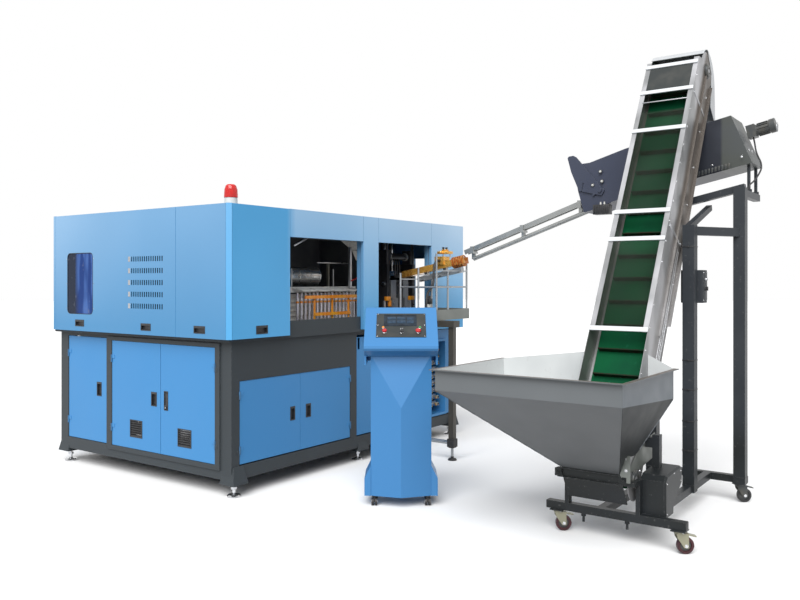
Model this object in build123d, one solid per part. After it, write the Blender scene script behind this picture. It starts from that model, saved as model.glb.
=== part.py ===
from build123d import *
import os
from math import atan2, cos, degrees, pi, radians, sin, tan

os.makedirs("parts", exist_ok=True)

# Directions used while the pieces are made: the near bottom corner of the lower frame is
# the origin, +X runs along the long front face, +Y along the end face, +Z is up.
# place() moves every finished piece so that the whole line stands centred on its origin.

# Lower frame of the machine
FRAME_LENGTH = 3100.0
FRAME_DEPTH = 2180.0
FRAME_BOTTOM = 125.0
RAIL_TOP = 225.0
RAIL_WIDTH = 90.0
TOP_RAIL_BOTTOM = 1117.0
FRAME_TOP = 1147.0
BED_TOP = 1165.0
APRON_BOTTOM = 853.0
SILL_TOP = 1280.0
FOOT_RADIUS = 52.5

# Doors of the lower frame
DOOR_THICKNESS = 22.0
DOOR_GAP = 3.0
DOOR_SETBACK = 4.0
HINGE_RADIUS = 7.0
HINGE_PIN_RADIUS = 3.0
HINGE_HALF = 30.0
BORDER_PROUD = 12.0
BORDER_Y = (115.0, 1490.0)
BORDER_Z = (192.0, 1131.0)
BORDER_OPENING_Y = (165.0, 1427.0)
BORDER_OPENING_Z = (229.0, 1100.0)

# Upper cabinet
CABINET_X = (-80.0, 3165.0)
CABINET_Y = (-60.0, 2200.0)
CABINET_TOP = 2158.0
PANEL_DEPTH = 30.0
SKIN = 3.0
GUARD_BOTTOM = 1167.0
CHAMFER = 30.0
SEAM = 2.0
OPENING_LEFT = (558.0, 1484.0)
PILLAR_X = (1484.0, 1704.0)
OPENING_RIGHT = (1704.0, 2566.0)
HEADER_BOTTOM = 1938.0
END_PANEL_BOTTOM = 1109.0
SMALL_GUARD_Y = (-26.0, 524.0)
LARGE_GUARD_Y = (528.0, 2138.0)
FRONT_GUARD_X = (-46.0, 556.0)
GUARD_WINDOW_Y = (1590.0, 1957.0)
GUARD_WINDOW_Z = (1313.0, 1828.0)

# Belt elevator: the slope, and the line of its front edge seen from the side
SLOPE = radians(60)
FRONT_LINE_X = 980.0
FRONT_LINE_Z = 1283.0
CONVEYOR_Y = (-2740.0, -2350.0)
CONVEYOR_DEPTH = 340.0
SIDE_PLATE = 3.0
BELT_FRONT = 150.0
BELT_THICKNESS = 4.0
ROLLER_RADIUS = 60.0
ROLLER_DEPTH = BELT_FRONT + BELT_THICKNESS + ROLLER_RADIUS
TAIL_STATION = -900.0
HEAD_STATION = 2340.0
CLEAT_COUNT = 18
CLEAT_HEIGHT = 42.0
ROLLER_PLAY = 0.4
SHAFT_RADIUS = 15.0
SHAFT_PLAY = 0.06

# Elevator frame on castors
BAR = 50.0
ELEVATOR_BAR_Z = (140.0, 190.0)
FRONT_BAR_X = 715.0
REAR_BAR_X = 2085.0
WHEEL_RADIUS = 50.0
CASTOR_TRAIL = 32.0
COLUMN = 80.0

# Unscrambler above the elevator's discharge
TROUGH_X = (2250.0, 2600.0)
INCLINE = radians(12.2)

# Control console, turned to face the camera
CONSOLE_CENTRE = (665.0, -1048.0)
CONSOLE_TURN = -54.43


def block(x, y, z):
    """Box between the low and high values of x, y and z."""
    size = (x[1] - x[0], y[1] - y[0], z[1] - z[0])
    return Pos(x[0], y[0], z[0]) * Box(*size, align=(Align.MIN, Align.MIN, Align.MIN))


def rod(start, end, radius):
    """Round bar between two points."""
    axis = Vector(*end) - Vector(*start)
    plane = Plane(origin=start, z_dir=axis)
    return plane * Cylinder(radius, axis.length, align=(Align.CENTER, Align.CENTER, Align.MIN))


def beam(start, end, width, height):
    """Square or flat bar between two points, its width lying along X where it can."""
    axis = Vector(*end) - Vector(*start)
    side = Vector(1, 0, 0)
    if abs(axis.normalized().X) > 0.9:
        side = Vector(0, 1, 0)
    plane = Plane(origin=start, x_dir=side, z_dir=axis)
    return plane * Box(width, height, axis.length, align=(Align.CENTER, Align.CENTER, Align.MIN))


def outline_face(points):
    """Flat face inside a closed outline of straight edges."""
    return make_face(Polyline(*points, close=True))


def profile_xz(points, y):
    """Outline in X and Z, as thick as the range y."""
    plane = Plane(origin=(0, y[1], 0), x_dir=(1, 0, 0), z_dir=(0, -1, 0))
    return extrude(plane * outline_face(points), y[1] - y[0])


def profile_yz(points, x):
    """Outline in Y and Z, as thick as the range x."""
    plane = Plane(origin=(x[0], 0, 0), x_dir=(0, 1, 0), z_dir=(1, 0, 0))
    return extrude(plane * outline_face(points), x[1] - x[0])


def profile_xy(points, z):
    """Outline in X and Y, as tall as the range z."""
    return extrude(Plane.XY.offset(z[0]) * outline_face(points), z[1] - z[0])


def ring(x, y, z, width):
    """Rectangular ring of bars lying flat."""
    inner = block((x[0] + width, x[1] - width), (y[0] + width, y[1] - width), z)
    return block(x, y, z) - inner


def tray(x, z, y_outer=0.0, depth=PANEL_DEPTH, skin=SKIN):
    """Folded sheet panel seen from the front: a skin with its edges turned back."""
    panel = block(x, (y_outer, y_outer + depth), z)
    hollow = block((x[0] + skin, x[1] - skin), (y_outer + skin, y_outer + depth), (z[0] + skin, z[1] - skin))
    return panel - hollow


def end_face(shape):
    """Turn a shape made for the front face so that it lies in the end face."""
    return Rot(0, 0, -90) * shape


def cup_pull(x, z, y_outer):
    """Recessed cup handle: the hole to cut, and the cup with its rim to add."""
    rim = 7.0
    wall = 2.0
    depth = 16.0
    hole = block((x[0] + rim, x[1] - rim), (y_outer - 5, y_outer + depth), (z[0] + rim, z[1] - rim))
    cup = block((x[0] + rim - wall, x[1] - rim + wall), (y_outer, y_outer + depth + wall),
                (z[0] + rim - wall, z[1] - rim + wall))
    cup += block(x, (y_outer - 2.5, y_outer), z)
    lip = block((x[0] + rim, x[1] - rim), (y_outer - 2.5, y_outer + 1), (z[1] - rim - 10, z[1] - rim))
    return cup - hole + lip


# Doors: x is measured along the face, towards the right of someone looking at it
DOORS = {
    "far_end_door": dict(end=True, plane=0.0, hinge=-2068.0, width=549.0, z=(230.0, 1112.0), flip=1,
                         pull=((-1655.0, -1588.0), (618.0, 736.0)), vent=None),
    "middle_end_door": dict(end=True, plane=-12.0, hinge=-1427.0, width=625.5, z=(232.0, 1097.0), flip=1,
                            pull=((-912.0, -842.0), (600.0, 712.0)), vent=((-1183.0, -1025.0), (325.0, 466.0))),
    "near_end_door": dict(end=True, plane=-12.0, hinge=-165.0, width=625.5, z=(232.0, 1097.0), flip=-1,
                          pull=None, vent=((-589.0, -430.0), (317.0, 456.0))),
    "front_left_door": dict(end=False, plane=0.0, hinge=83.0, width=654.0, z=(235.0, 850.0), flip=1,
                            pull=((625.0, 680.0), (484.0, 594.0)), vent=None),
    "front_right_door": dict(end=False, plane=0.0, hinge=1375.0, width=629.0, z=(235.0, 850.0), flip=-1,
                             pull=((808.0, 868.0), (484.0, 594.0)), vent=None),
}
LEVER_X = (-753.0, -704.0)
LEVER_Z = (580.0, 730.0)
LEVER_PIVOT_Z = 716.0


def hinge_heights(door):
    low, high = door["z"]
    inset = 0.17 * (high - low)
    return (low + inset, high - inset)


def door_x(door, near, far):
    """Range along the face between two distances from the hinge pin."""
    ends = (door["hinge"] + door["flip"] * near, door["hinge"] + door["flip"] * far)
    return (min(ends), max(ends))


def door_side(shape, door):
    return end_face(shape) if door["end"] else shape


def frame_knuckles(door):
    """Hinge halves that stay on the frame, with their pins."""
    axis = door["plane"]
    knuckles = []
    for height in hinge_heights(door):
        barrel = rod((door["hinge"], axis, height - HINGE_HALF), (door["hinge"], axis, height), HINGE_RADIUS)
        strap = block(door_x(door, -26, 0), (axis - 3, axis + 1), (height - HINGE_HALF, height))
        pin = rod((door["hinge"], axis, height), (door["hinge"], axis, height + HINGE_HALF), HINGE_PIN_RADIUS)
        knuckles.append(barrel + strap + pin)
    return knuckles


def frame_knuckle_room(door):
    """Room in the frame beside the hinge half that turns with the door."""
    axis = door["plane"]
    room = []
    for height in hinge_heights(door):
        low = (door["hinge"], axis, height - 0.5)
        high = (door["hinge"], axis, height + HINGE_HALF + 2)
        room.append(rod(low, high, HINGE_RADIUS + 1.5))
    return room


def vent_grille(x, z, y_outer):
    """Square vent: a rim with slanting blades over an opening in the door."""
    rim = 8.0
    frame = block(x, (y_outer - 3, y_outer), z)
    inner = (x[0] + rim, x[1] - rim)
    frame -= block(inner, (y_outer - 3, y_outer), (z[0] + rim, z[1] - rim))
    blade_count = 7
    pitch = (z[1] - z[0] - 2 * rim) / blade_count
    for step in range(blade_count):
        bottom = z[0] + rim + step * pitch
        blade = profile_yz([(y_outer - 3, bottom), (y_outer - 1, bottom), (y_outer + 9, bottom + 0.7 * pitch),
                            (y_outer + 7, bottom + 0.7 * pitch)], inner)
        frame += blade
    return frame


def door_leaf(door):
    """Door as a stiff leaf with its own hinge halves, pull and vent."""
    axis = door["plane"]
    outer = axis + DOOR_SETBACK
    low, high = door["z"]
    leaf = block(door_x(door, DOOR_GAP, DOOR_GAP + door["width"]), (outer, outer + DOOR_THICKNESS), (low, high))
    for height in hinge_heights(door):
        base = (door["hinge"], axis, height - HINGE_HALF - 1)
        top = (door["hinge"], axis, height + 0.5)
        leaf -= rod(base, top, HINGE_RADIUS + 1.5)
        knuckle = rod((door["hinge"], axis, height + 0.5), (door["hinge"], axis, height + HINGE_HALF), HINGE_RADIUS)
        strap = block(door_x(door, 0, 38), (axis + 0.5, outer + 1), (height + 0.5, height + HINGE_HALF))
        bore = rod((door["hinge"], axis, height), (door["hinge"], axis, height + HINGE_HALF + 1),
                   HINGE_PIN_RADIUS + 0.08)
        leaf = leaf + knuckle + strap - bore
    if door["pull"]:
        x, z = door["pull"]
        rim = 7.0
        leaf -= block((x[0] + rim - 2, x[1] - rim + 2), (outer - 1, outer + 18), (z[0] + rim - 2, z[1] - rim + 2))
        leaf += cup_pull(x, z, outer)
    if door["vent"]:
        x, z = door["vent"]
        rim = 8.0
        leaf -= block((x[0] + rim, x[1] - rim), (outer - 1, outer + DOOR_THICKNESS + 1), (z[0] + rim, z[1] - rim))
        leaf += vent_grille(x, z, outer)
    return leaf


def near_door():
    """Near door of the end face, with the dish and pivot block of its lever."""
    door = DOORS["near_end_door"]
    outer = door["plane"] + DOOR_SETBACK
    leaf = door_leaf(door)
    dish_x = (LEVER_X[0] + 6, LEVER_X[1] - 6)
    leaf += block(LEVER_X, (outer - 3, outer), LEVER_Z)
    leaf -= block(dish_x, (outer - 4, outer + 16), (LEVER_Z[0] + 6, LEVER_Z[1] - 6))
    pin = rod((dish_x[0] - 2, outer + 6, LEVER_PIVOT_Z), (dish_x[1] + 2, outer + 6, LEVER_PIVOT_Z), 2.5)
    return leaf + pin


def near_door_lever():
    """Lift-out lever that turns about the pin at its top, with its lock barrel."""
    outer = DOORS["near_end_door"]["plane"] + DOOR_SETBACK
    width = (LEVER_X[0] + 10, LEVER_X[1] - 10)
    arm = profile_yz([(outer + 2, LEVER_PIVOT_Z - 8), (outer + 2, LEVER_Z[0] + 44), (outer - 5, LEVER_Z[0] + 34),
                      (outer - 5, LEVER_Z[0] + 10), (outer + 10, LEVER_Z[0] + 10), (outer + 10, LEVER_PIVOT_Z - 6)],
                     width)
    hub = rod((width[0], outer + 6, LEVER_PIVOT_Z), (width[1], outer + 6, LEVER_PIVOT_Z), 7)
    bore = rod((width[0] - 1, outer + 6, LEVER_PIVOT_Z), (width[1] + 1, outer + 6, LEVER_PIVOT_Z), 2.58)
    centre_x = (LEVER_X[0] + LEVER_X[1]) / 2
    lock = rod((centre_x, outer - 8, LEVER_Z[0] + 22), (centre_x, outer, LEVER_Z[0] + 22), 9)
    return end_face(arm + hub - bore + lock)


def corner_bracket(x, y):
    """Flared shoe that spreads a corner post over its screw foot."""
    top = Plane.XY.offset(RAIL_TOP) * Rectangle(96, 96)
    bottom = Plane.XY.offset(FRAME_BOTTOM - 30) * Rectangle(150, 150)
    return Pos(x, y, 0) * loft([bottom.face(), top.face()])


FOOT_PLACES = [(62.0, 40.0), (62.0, 2130.0), (3048.0, 40.0), (3048.0, 2130.0), (1550.0, 60.0), (1550.0, 2120.0)]


def base_frame():
    """Welded lower frame: rails, posts, border of the door pair, apron, bed and sill."""
    long_x = (0.0, FRAME_LENGTH)
    deep_y = (0.0, FRAME_DEPTH)
    frame = ring(long_x, deep_y, (FRAME_BOTTOM, RAIL_TOP), RAIL_WIDTH)
    frame += ring(long_x, deep_y, (TOP_RAIL_BOTTOM, FRAME_TOP), RAIL_WIDTH)
    upright = (RAIL_TOP, TOP_RAIL_BOTTOM)
    frame += block((0, 80), (0, 115), upright)
    frame += block((0, 90), (2071, FRAME_DEPTH), upright)
    frame += block((3020, FRAME_LENGTH), (0, 90), upright)
    frame += block((3010, FRAME_LENGTH), (2090, FRAME_DEPTH), upright)
    frame += block((0, 70), (1452, 1515), upright)
    frame += block((1378, 1462), (0, 80), upright)
    frame += block((1500, 1580), (2100, FRAME_DEPTH), upright)
    frame += block((1500, 1580), (RAIL_WIDTH, FRAME_DEPTH - RAIL_WIDTH), (FRAME_BOTTOM, RAIL_TOP))
    frame += block((1500, 1580), (RAIL_WIDTH, FRAME_DEPTH - RAIL_WIDTH), (TOP_RAIL_BOTTOM - 30, FRAME_TOP))
    border = block((-BORDER_PROUD, 0), BORDER_Y, BORDER_Z)
    border -= block((-BORDER_PROUD, 0), BORDER_OPENING_Y, BORDER_OPENING_Z)
    border += block((0, 40), (BORDER_Y[0], BORDER_OPENING_Y[0]), upright)
    border += block((0, 40), (BORDER_OPENING_Y[1], 1452), upright)
    frame += border
    frame += block((80, 1378), (0, 16), (APRON_BOTTOM, TOP_RAIL_BOTTOM))
    frame += block((-48, 3160), (-28, 2198), (FRAME_TOP, BED_TOP))
    frame += block((OPENING_LEFT[0] + 4, OPENING_LEFT[1] - 4), (-28, -14), (BED_TOP, SILL_TOP))
    frame += block((200, 212), (1700, 2100), (RAIL_TOP - 5, TOP_RAIL_BOTTOM + 5))
    for foot in FOOT_PLACES:
        frame += corner_bracket(*foot)
        frame -= rod((*foot, FRAME_BOTTOM - 35), (*foot, FRAME_BOTTOM + 60), 12)
    for door in DOORS.values():
        for room in frame_knuckle_room(door):
            frame -= door_side(room, door)
        for knuckle in frame_knuckles(door):
            frame += door_side(knuckle, door)
    return frame


def levelling_feet():
    """Screw feet: a round shoe with a stem and two nuts, turned about one axis."""
    shoe = [(0, 0), (FOOT_RADIUS, 0), (FOOT_RADIUS, 9), (44, 17), (20, 24), (12, 30), (12, 56)]
    stem = [(22, 56), (22, 72), (12, 72), (12, FRAME_BOTTOM + 50), (0, FRAME_BOTTOM + 50)]
    section = Plane.XZ * outline_face(shoe + stem)
    foot = revolve(section, Axis.Z)
    return [Pos(x, y, 0) * foot for x, y in FOOT_PLACES]


VALVE_OPENING_X = (2640.0, 2890.0)
VALVE_OPENING_Z = (260.0, 980.0)


def lower_panels():
    """Fixed panels that close the lower frame, with the raised frame of the valve bay."""
    z = (235.0, 1095.0)
    left = tray((1465, 2100), z, 4)
    left -= block((1482, 1512), (0, 20), (990, 1090))
    middle = tray((2104, 2590), z, 4)
    right = tray((2594, 3017), z, 4)
    opening_low = (VALVE_OPENING_X[0], VALVE_OPENING_Z[0])
    opening_high = (VALVE_OPENING_X[1], VALVE_OPENING_Z[1])
    wide = ((opening_low[0], opening_high[0]), (opening_low[1], opening_high[1]))
    right -= block(wide[0], (-20, 60), wide[1])
    raised = block((wide[0][0] - 24, wide[0][1] + 24), (-14, 4), (wide[1][0] - 24, wide[1][1] + 24))
    raised -= block(wide[0], (-14, 4), wide[1])
    depth = 150.0
    bay = block((wide[0][0] - 3, wide[0][1] + 3), (7, depth), (wide[1][0] - 3, wide[1][1] + 3))
    bay -= block(wide[0], (4, depth - 3), wide[1])
    rear = [Rot(0, 0, 180) * tray((-x1, -x0), z, -FRAME_DEPTH + 4) for x0, x1 in ((96, 1496), (1584, 3006))]
    far = [Rot(0, 0, 90) * tray((y0, y1), z, -FRAME_LENGTH + 4) for y0, y1 in ((94, 1080), (1084, 2086))]
    return [left, middle, right + raised + bay] + rear + far


def valve_manifold():
    """Air valves in the bay: two ladders of valve bodies with push-in fittings and a header pipe."""
    back = 147.0
    ladder = None
    for column_x in (2700.0, 2820.0):
        rail = block((column_x - 30, column_x + 30), (back - 20, back), (290, 950))
        ladder = rail if ladder is None else ladder + rail
        for step in range(9):
            z = 320 + 70 * step
            ladder += block((column_x - 38, column_x + 38), (back - 70, back - 20), (z, z + 46))
            for side in (-18, 18):
                start = (column_x + side, back - 70, z + 23)
                ladder += rod(start, (column_x + side, back - 96, z + 23), 9)
    pipe = rod((2760, back - 20, 270), (2760, back - 20, 970), 16)
    for z in (300, 620, 930):
        pipe += block((2738, 2782), (back - 20, back), (z, z + 20))
    return [ladder, pipe]


def corner_strip(y_corner, flip, width):
    """Chamfered corner of the cabinet with the post behind it."""
    x0 = CABINET_X[0]
    inner = y_corner + flip * width
    strip = profile_xy([(x0, y_corner + flip * CHAMFER), (x0 + CHAMFER, y_corner), (x0 + CHAMFER + SEAM, y_corner),
                        (x0 + CHAMFER + SEAM, inner), (x0, inner)], (GUARD_BOTTOM, CABINET_TOP))
    post_y = (inner, inner + 60) if flip > 0 else (inner, inner + 50)
    return strip + block((x0 + CHAMFER + SEAM, x0 + CHAMFER + 62), post_y, (BED_TOP, 2118))


def cabinet_front():
    """Front of the cabinet: near corner, two headers, the pillar and the end panel."""
    y0 = CABINET_Y[0]
    header_z = (HEADER_BOTTOM, CABINET_TOP)
    panels = tray(OPENING_LEFT, header_z, y0)
    panels += tray(PILLAR_X, (GUARD_BOTTOM, CABINET_TOP), y0)
    panels += tray(OPENING_RIGHT, header_z, y0)
    panels += tray((OPENING_RIGHT[1], CABINET_X[1]), (END_PANEL_BOTTOM, CABINET_TOP), y0)
    for seam_x in (PILLAR_X[0], PILLAR_X[1], OPENING_RIGHT[1]):
        panels -= block((seam_x - 1.5, seam_x + 1.5), (y0, y0 + 2), (END_PANEL_BOTTOM - 1, CABINET_TOP + 1))
    behind = y0 + PANEL_DEPTH
    post_y = (-14.0, 26.0)
    for post_x in ((560, 600), (1500, 1560), (1630, 1690), (2570, 2630), (3085, 3133)):
        panels += block(post_x, post_y, (BED_TOP, 2118))
    panels += block((560, 3133), (behind, post_y[1]), (2080, 2118))
    return [corner_strip(y0, 1, CHAMFER + SEAM), panels]


EXIT_Y = (60.0, 540.0)
EXIT_Z = (1180.0, 1830.0)


def cabinet_rear():
    """Roof, rear wall and far end wall of the cabinet on their inner posts."""
    x1, y1 = CABINET_X[1], CABINET_Y[1]
    roof = block((-48, x1), (-28, y1), (2120, CABINET_TOP)) - block((-45, x1 - 3), (-25, y1 - 3), (2120, 2155))
    rear = Rot(0, 0, 180) * tray((-x1, 48), (BED_TOP, 2120), -y1)
    far = Rot(0, 0, 90) * tray((-28, y1 - PANEL_DEPTH), (BED_TOP, 2120), -x1)
    far -= block((x1 - 40, x1 + 5), EXIT_Y, EXIT_Z)
    lining = block((x1 - PANEL_DEPTH, x1), (EXIT_Y[0] - 3, EXIT_Y[1] + 3), (EXIT_Z[0] - 3, EXIT_Z[1] + 3))
    lining -= block((x1 - PANEL_DEPTH - 1, x1 + 1), EXIT_Y, EXIT_Z)
    shell = roof + rear + far + lining
    for post_x, post_y in ((-48, 1500), (3085, 1000), (3085, 2110), (1480, 2110)):
        shell += block((post_x, post_x + 50), (post_y, post_y + 50), (BED_TOP, 2120))
    return [shell, corner_strip(y1, -1, CABINET_Y[1] - LARGE_GUARD_Y[1] - SEAM)]


BEACON_PLACE = (120.0, 135.0)


def beacon_base():
    """Cup that carries the warning beacon on the roof."""
    outline = [(0, 0), (56, 0), (56, 8), (50, 10), (48, 60), (40, 62), (40, 66), (0, 66)]
    return Pos(*BEACON_PLACE, CABINET_TOP) * revolve(Plane.XZ * outline_face(outline), Axis.Z)


def beacon_lens():
    """Ribbed dome of the beacon."""
    outer = [(40.2, 62), (52, 62), (51, 74), (47, 128), (40, 150), (30, 160), (0, 162)]
    inner = [(0, 158), (28, 156), (37, 147), (43.5, 127), (40.2, 74)]
    dome = revolve(Plane.XZ * outline_face(outer + inner), Axis.Z)
    for step in range(16):
        turn = Rot(0, 0, 360 / 16 * step)
        dome += turn * rod((50.5, 0, 68), (46.8, 0, 126), 1.6)
    return Pos(*BEACON_PLACE, CABINET_TOP) * dome


# Heating section behind the left opening
ROW_Y = 260.0
ROD_PITCH = 50.8
ROD_COUNT = 17
ROW_X = 985.0


def oven_wall():
    """Dark sheet walls round the heating section."""
    back = block((20, 2110), (1000, 1006), (BED_TOP, 2110))
    side = block((2104, 2110), (380, 1000), (BED_TOP, 2110))
    hood = profile_yz([(380, 1960), (380, 1966), (640, 2050), (1000, 2050), (1000, 2044), (640, 2044)], (620, 2104))
    return back + side + hood


def air_duct():
    """Polished air duct over the lamps, with its seams and end flanges."""
    axis_z = 1634.0
    duct = rod((1040, 480, axis_z), (1450, 480, axis_z), 78)
    for x in (1040, 1180, 1320, 1444):
        duct += rod((x, 480, axis_z), (x + 6, 480, axis_z), 83)
    duct += rod((1245, 480, axis_z), (1245, 1000, axis_z), 45)
    return duct


def lamp_reflectors():
    """Four slanted reflector plates over the row, on their carrier."""
    plates = block((960, 1860), (330, 350), (1492, 1540))
    for step in range(4):
        x = 990 + 210 * step
        plates += profile_yz([(330, 1536), (200, 1508), (200, 1504), (330, 1528)], (x, x + 170))
    for x in (975, 1835):
        plates += block((x, x + 20), (350, 364), (BED_TOP, 1540))
    white_cover = block((930, 956), (330, 380), (BED_TOP, 1610))
    return [plates, white_cover]


def oven_rails():
    """Two orange guide rails that hold the row."""
    rails = block((1000, 1700), (180, 192), (1440, 1468)) + block((1120, 1600), (180, 192), (1292, 1320))
    for x in (1125, 1360, 1585):
        rails += block((x, x + 14), (192, 204), (BED_TOP, 1460))
    return rails


def mandrel_row():
    """Row of preform mandrels on their chain track, each with collar and tip."""
    track = block((ROW_X - 40, 2290), (ROW_Y - 30, ROW_Y + 30), (BED_TOP, 1216))
    outline = [(0, 1216), (20, 1216), (20, 1236), (11, 1240), (11, 1420), (15, 1424), (15, 1446), (9, 1450),
               (9, 1484), (0, 1490)]
    mandrel = revolve(Plane.XZ * outline_face(outline), Axis.Z)
    for step in range(ROD_COUNT):
        track += Pos(ROW_X + ROD_PITCH * step, ROW_Y, 0) * mandrel
    return track


# Clamp and mould seen through the right opening
CLAMP_X = (2320.0, 2800.0)
CLAMP_Y = (300.0, 620.0)
PLATEN_TRAVEL = 60.0
BLOW_STROKE = 90.0


def clamp_frame():
    """Black clamp: two end plates, four tie bars, head plate and the clamp cylinder."""
    frame = block((CLAMP_X[0], CLAMP_X[0] + 40), CLAMP_Y, (BED_TOP, 1760))
    frame += block((CLAMP_X[1] - 40, CLAMP_X[1]), CLAMP_Y, (BED_TOP, 1760))
    for y in (CLAMP_Y[0] + 40, CLAMP_Y[1] - 40):
        for z in (1230, 1560):
            frame += rod((CLAMP_X[0] + 40, y, z), (CLAMP_X[1] - 40, y, z), 16)
    for y in (CLAMP_Y[0] + 20, CLAMP_Y[1] - 20):
        frame += rod((CLAMP_X[0] + 20, y, 1760), (CLAMP_X[0] + 20, y, 2000), 14)
        frame += rod((CLAMP_X[1] - 20, y, 1760), (CLAMP_X[1] - 20, y, 2000), 14)
    frame += block(CLAMP_X, CLAMP_Y, (2000, 2030))
    frame += rod((CLAMP_X[0] + 60, 360, 1835), (CLAMP_X[1] - 60, 360, 1835), 34)
    frame += block((CLAMP_X[0] + 40, CLAMP_X[0] + 70), (310, 410), (1760, 1900))
    frame += block((CLAMP_X[0], CLAMP_X[0] + 40), (310, 410), (1760, 1900))
    frame += block((CLAMP_X[1] - 70, CLAMP_X[1]), (310, 410), (1760, 1900))
    centre = (CLAMP_X[0] + CLAMP_X[1]) / 2
    middle_y = (CLAMP_Y[0] + CLAMP_Y[1]) / 2
    frame += rod((centre, middle_y + 60, 1700), (centre, middle_y + 60, 2000), 30)
    frame -= block((centre - 90, centre + 90), (middle_y - 60, middle_y + 140), (1690, 1720))
    for side in (-60, 60):
        frame -= rod((centre + side, middle_y, 1980), (centre + side, middle_y, 2040), 12.1)
    return frame


def platen(side):
    """Mould half on its platen, bored for the four tie bars."""
    centre = (CLAMP_X[0] + CLAMP_X[1]) / 2
    face = centre + side * PLATEN_TRAVEL
    x = (face, face + side * 90) if side > 0 else (face - 90, face)
    half = block(x, (CLAMP_Y[0], CLAMP_Y[1]), (1190, 1600))
    mould_x = (face, face + side * 60) if side > 0 else (face - 60, face)
    half -= block((x[0] - 1, x[1] + 1), (CLAMP_Y[0] - 1, CLAMP_Y[0] + 20), (1420, 1601))
    middle_y = (CLAMP_Y[0] + CLAMP_Y[1]) / 2
    half -= rod((face, middle_y, 1260), (face, middle_y, 1601), 36)
    half -= block(mould_x, (CLAMP_Y[1] - 12, CLAMP_Y[1] + 1), (1300, 1500))
    for y in (CLAMP_Y[0] + 40, CLAMP_Y[1] - 40):
        for z in (1230, 1560):
            half -= rod((x[0] - 1, y, z), (x[1] + 1, y, z), 16.08)
    return half


def blow_head():
    """Blow nozzle on its crosshead, guided by two rods through the head plate."""
    centre = (CLAMP_X[0] + CLAMP_X[1]) / 2
    middle_y = (CLAMP_Y[0] + CLAMP_Y[1]) / 2
    base = 1612.0
    head = block((centre - 85, centre + 85), (middle_y - 50, middle_y + 20), (base + 30, base + 78))
    outline = [(0, base), (14, base), (24, base + 12), (24, base + 30), (0, base + 30)]
    head += Pos(centre, middle_y, 0) * revolve(Plane.XZ * outline_face(outline), Axis.Z)
    for side in (-60, 60):
        head += rod((centre + side, middle_y, base + 78), (centre + side, middle_y, 2036), 12)
    return head


def guard_panel(x, y_outer, pulls):
    """Lift-up guard: a folded tray with recessed pulls near its lower edge."""
    panel = tray(x, (GUARD_BOTTOM, CABINET_TOP - 2), y_outer)
    for pull_x, pull_z in pulls:
        rim = 5.0
        panel -= block((pull_x[0] + rim, pull_x[1] - rim), (y_outer - 1, y_outer + 10),
                       (pull_z[0] + rim, pull_z[1] - rim))
        panel += cup_pull(pull_x, pull_z, y_outer)
    return panel


def large_end_guard():
    """Guard of the end face with its window opening and five rows of louvre slots."""
    x = (-LARGE_GUARD_Y[1], -LARGE_GUARD_Y[0])
    outer = CABINET_X[0]
    pulls = [((-1841, -1714), (1207, 1263)), ((-948, -824), (1202, 1258))]
    panel = guard_panel(x, outer, pulls)
    middle = (-(GUARD_WINDOW_Y[0] + GUARD_WINDOW_Y[1]) / 2, (GUARD_WINDOW_Z[0] + GUARD_WINDOW_Z[1]) / 2)
    panel -= window_prism(middle, 0, (outer - 1, outer + SKIN + 1))
    for row in range(5):
        row_z = 1373 + 93.5 * row
        for slot in range(15):
            slot_x = -1072 + 27.0 * slot
            panel -= block((slot_x, slot_x + 14), (outer - 1, outer + SKIN + 1), (row_z, row_z + 40))
    return end_face(panel)


def window_prism(middle, grow, y):
    """Rounded rectangle of the guard window, drilled through the range y."""
    width = GUARD_WINDOW_Y[1] - GUARD_WINDOW_Y[0] + 2 * grow
    height = GUARD_WINDOW_Z[1] - GUARD_WINDOW_Z[0] + 2 * grow
    plane = Plane(origin=(middle[0], y[1], middle[1]), x_dir=(1, 0, 0), z_dir=(0, -1, 0))
    return extrude(plane * RectangleRounded(width, height, 38 + grow), y[1] - y[0])


def guard_window():
    """Tinted pane behind the opening of the large guard."""
    middle = (-(GUARD_WINDOW_Y[0] + GUARD_WINDOW_Y[1]) / 2, (GUARD_WINDOW_Z[0] + GUARD_WINDOW_Z[1]) / 2)
    inner_face = CABINET_X[0] + SKIN
    return end_face(window_prism(middle, 15, (inner_face, inner_face + 5)))


def small_end_guard():
    """Narrow guard of the end face."""
    x = (-SMALL_GUARD_Y[1], -SMALL_GUARD_Y[0])
    return end_face(guard_panel(x, CABINET_X[0], [((-318, -193), (1203, 1259))]))


def front_guard():
    """Guard at the left of the front face."""
    return guard_panel(FRONT_GUARD_X, CABINET_Y[0], [((190, 311), (1195, 1258))])


# Console pieces are made facing -Y about their own centre and then turned into place
CONSOLE_HALF = 215.0
HEAD_HALF = 260.0
PANEL_SLOPE = atan2(241.0, 350.0)


def turn_console(shape):
    """Stand a console piece at its place on the floor."""
    return Pos(*CONSOLE_CENTRE, 0) * (Rot(0, 0, CONSOLE_TURN) * shape)


def console_plane(along=0.0, across=0.0, out=0.0):
    """Plane in the sloping control face, from its middle; out is along its normal."""
    middle = Vector(0, -27.0, 1395 - 177 * tan(PANEL_SLOPE))
    up = Vector(0, cos(PANEL_SLOPE), sin(PANEL_SLOPE))
    normal = Vector(0, -sin(PANEL_SLOPE), cos(PANEL_SLOPE))
    origin = middle + Vector(across, 0, 0) + up * along + normal * out
    return Plane(origin=origin, x_dir=(1, 0, 0), z_dir=normal)


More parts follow.
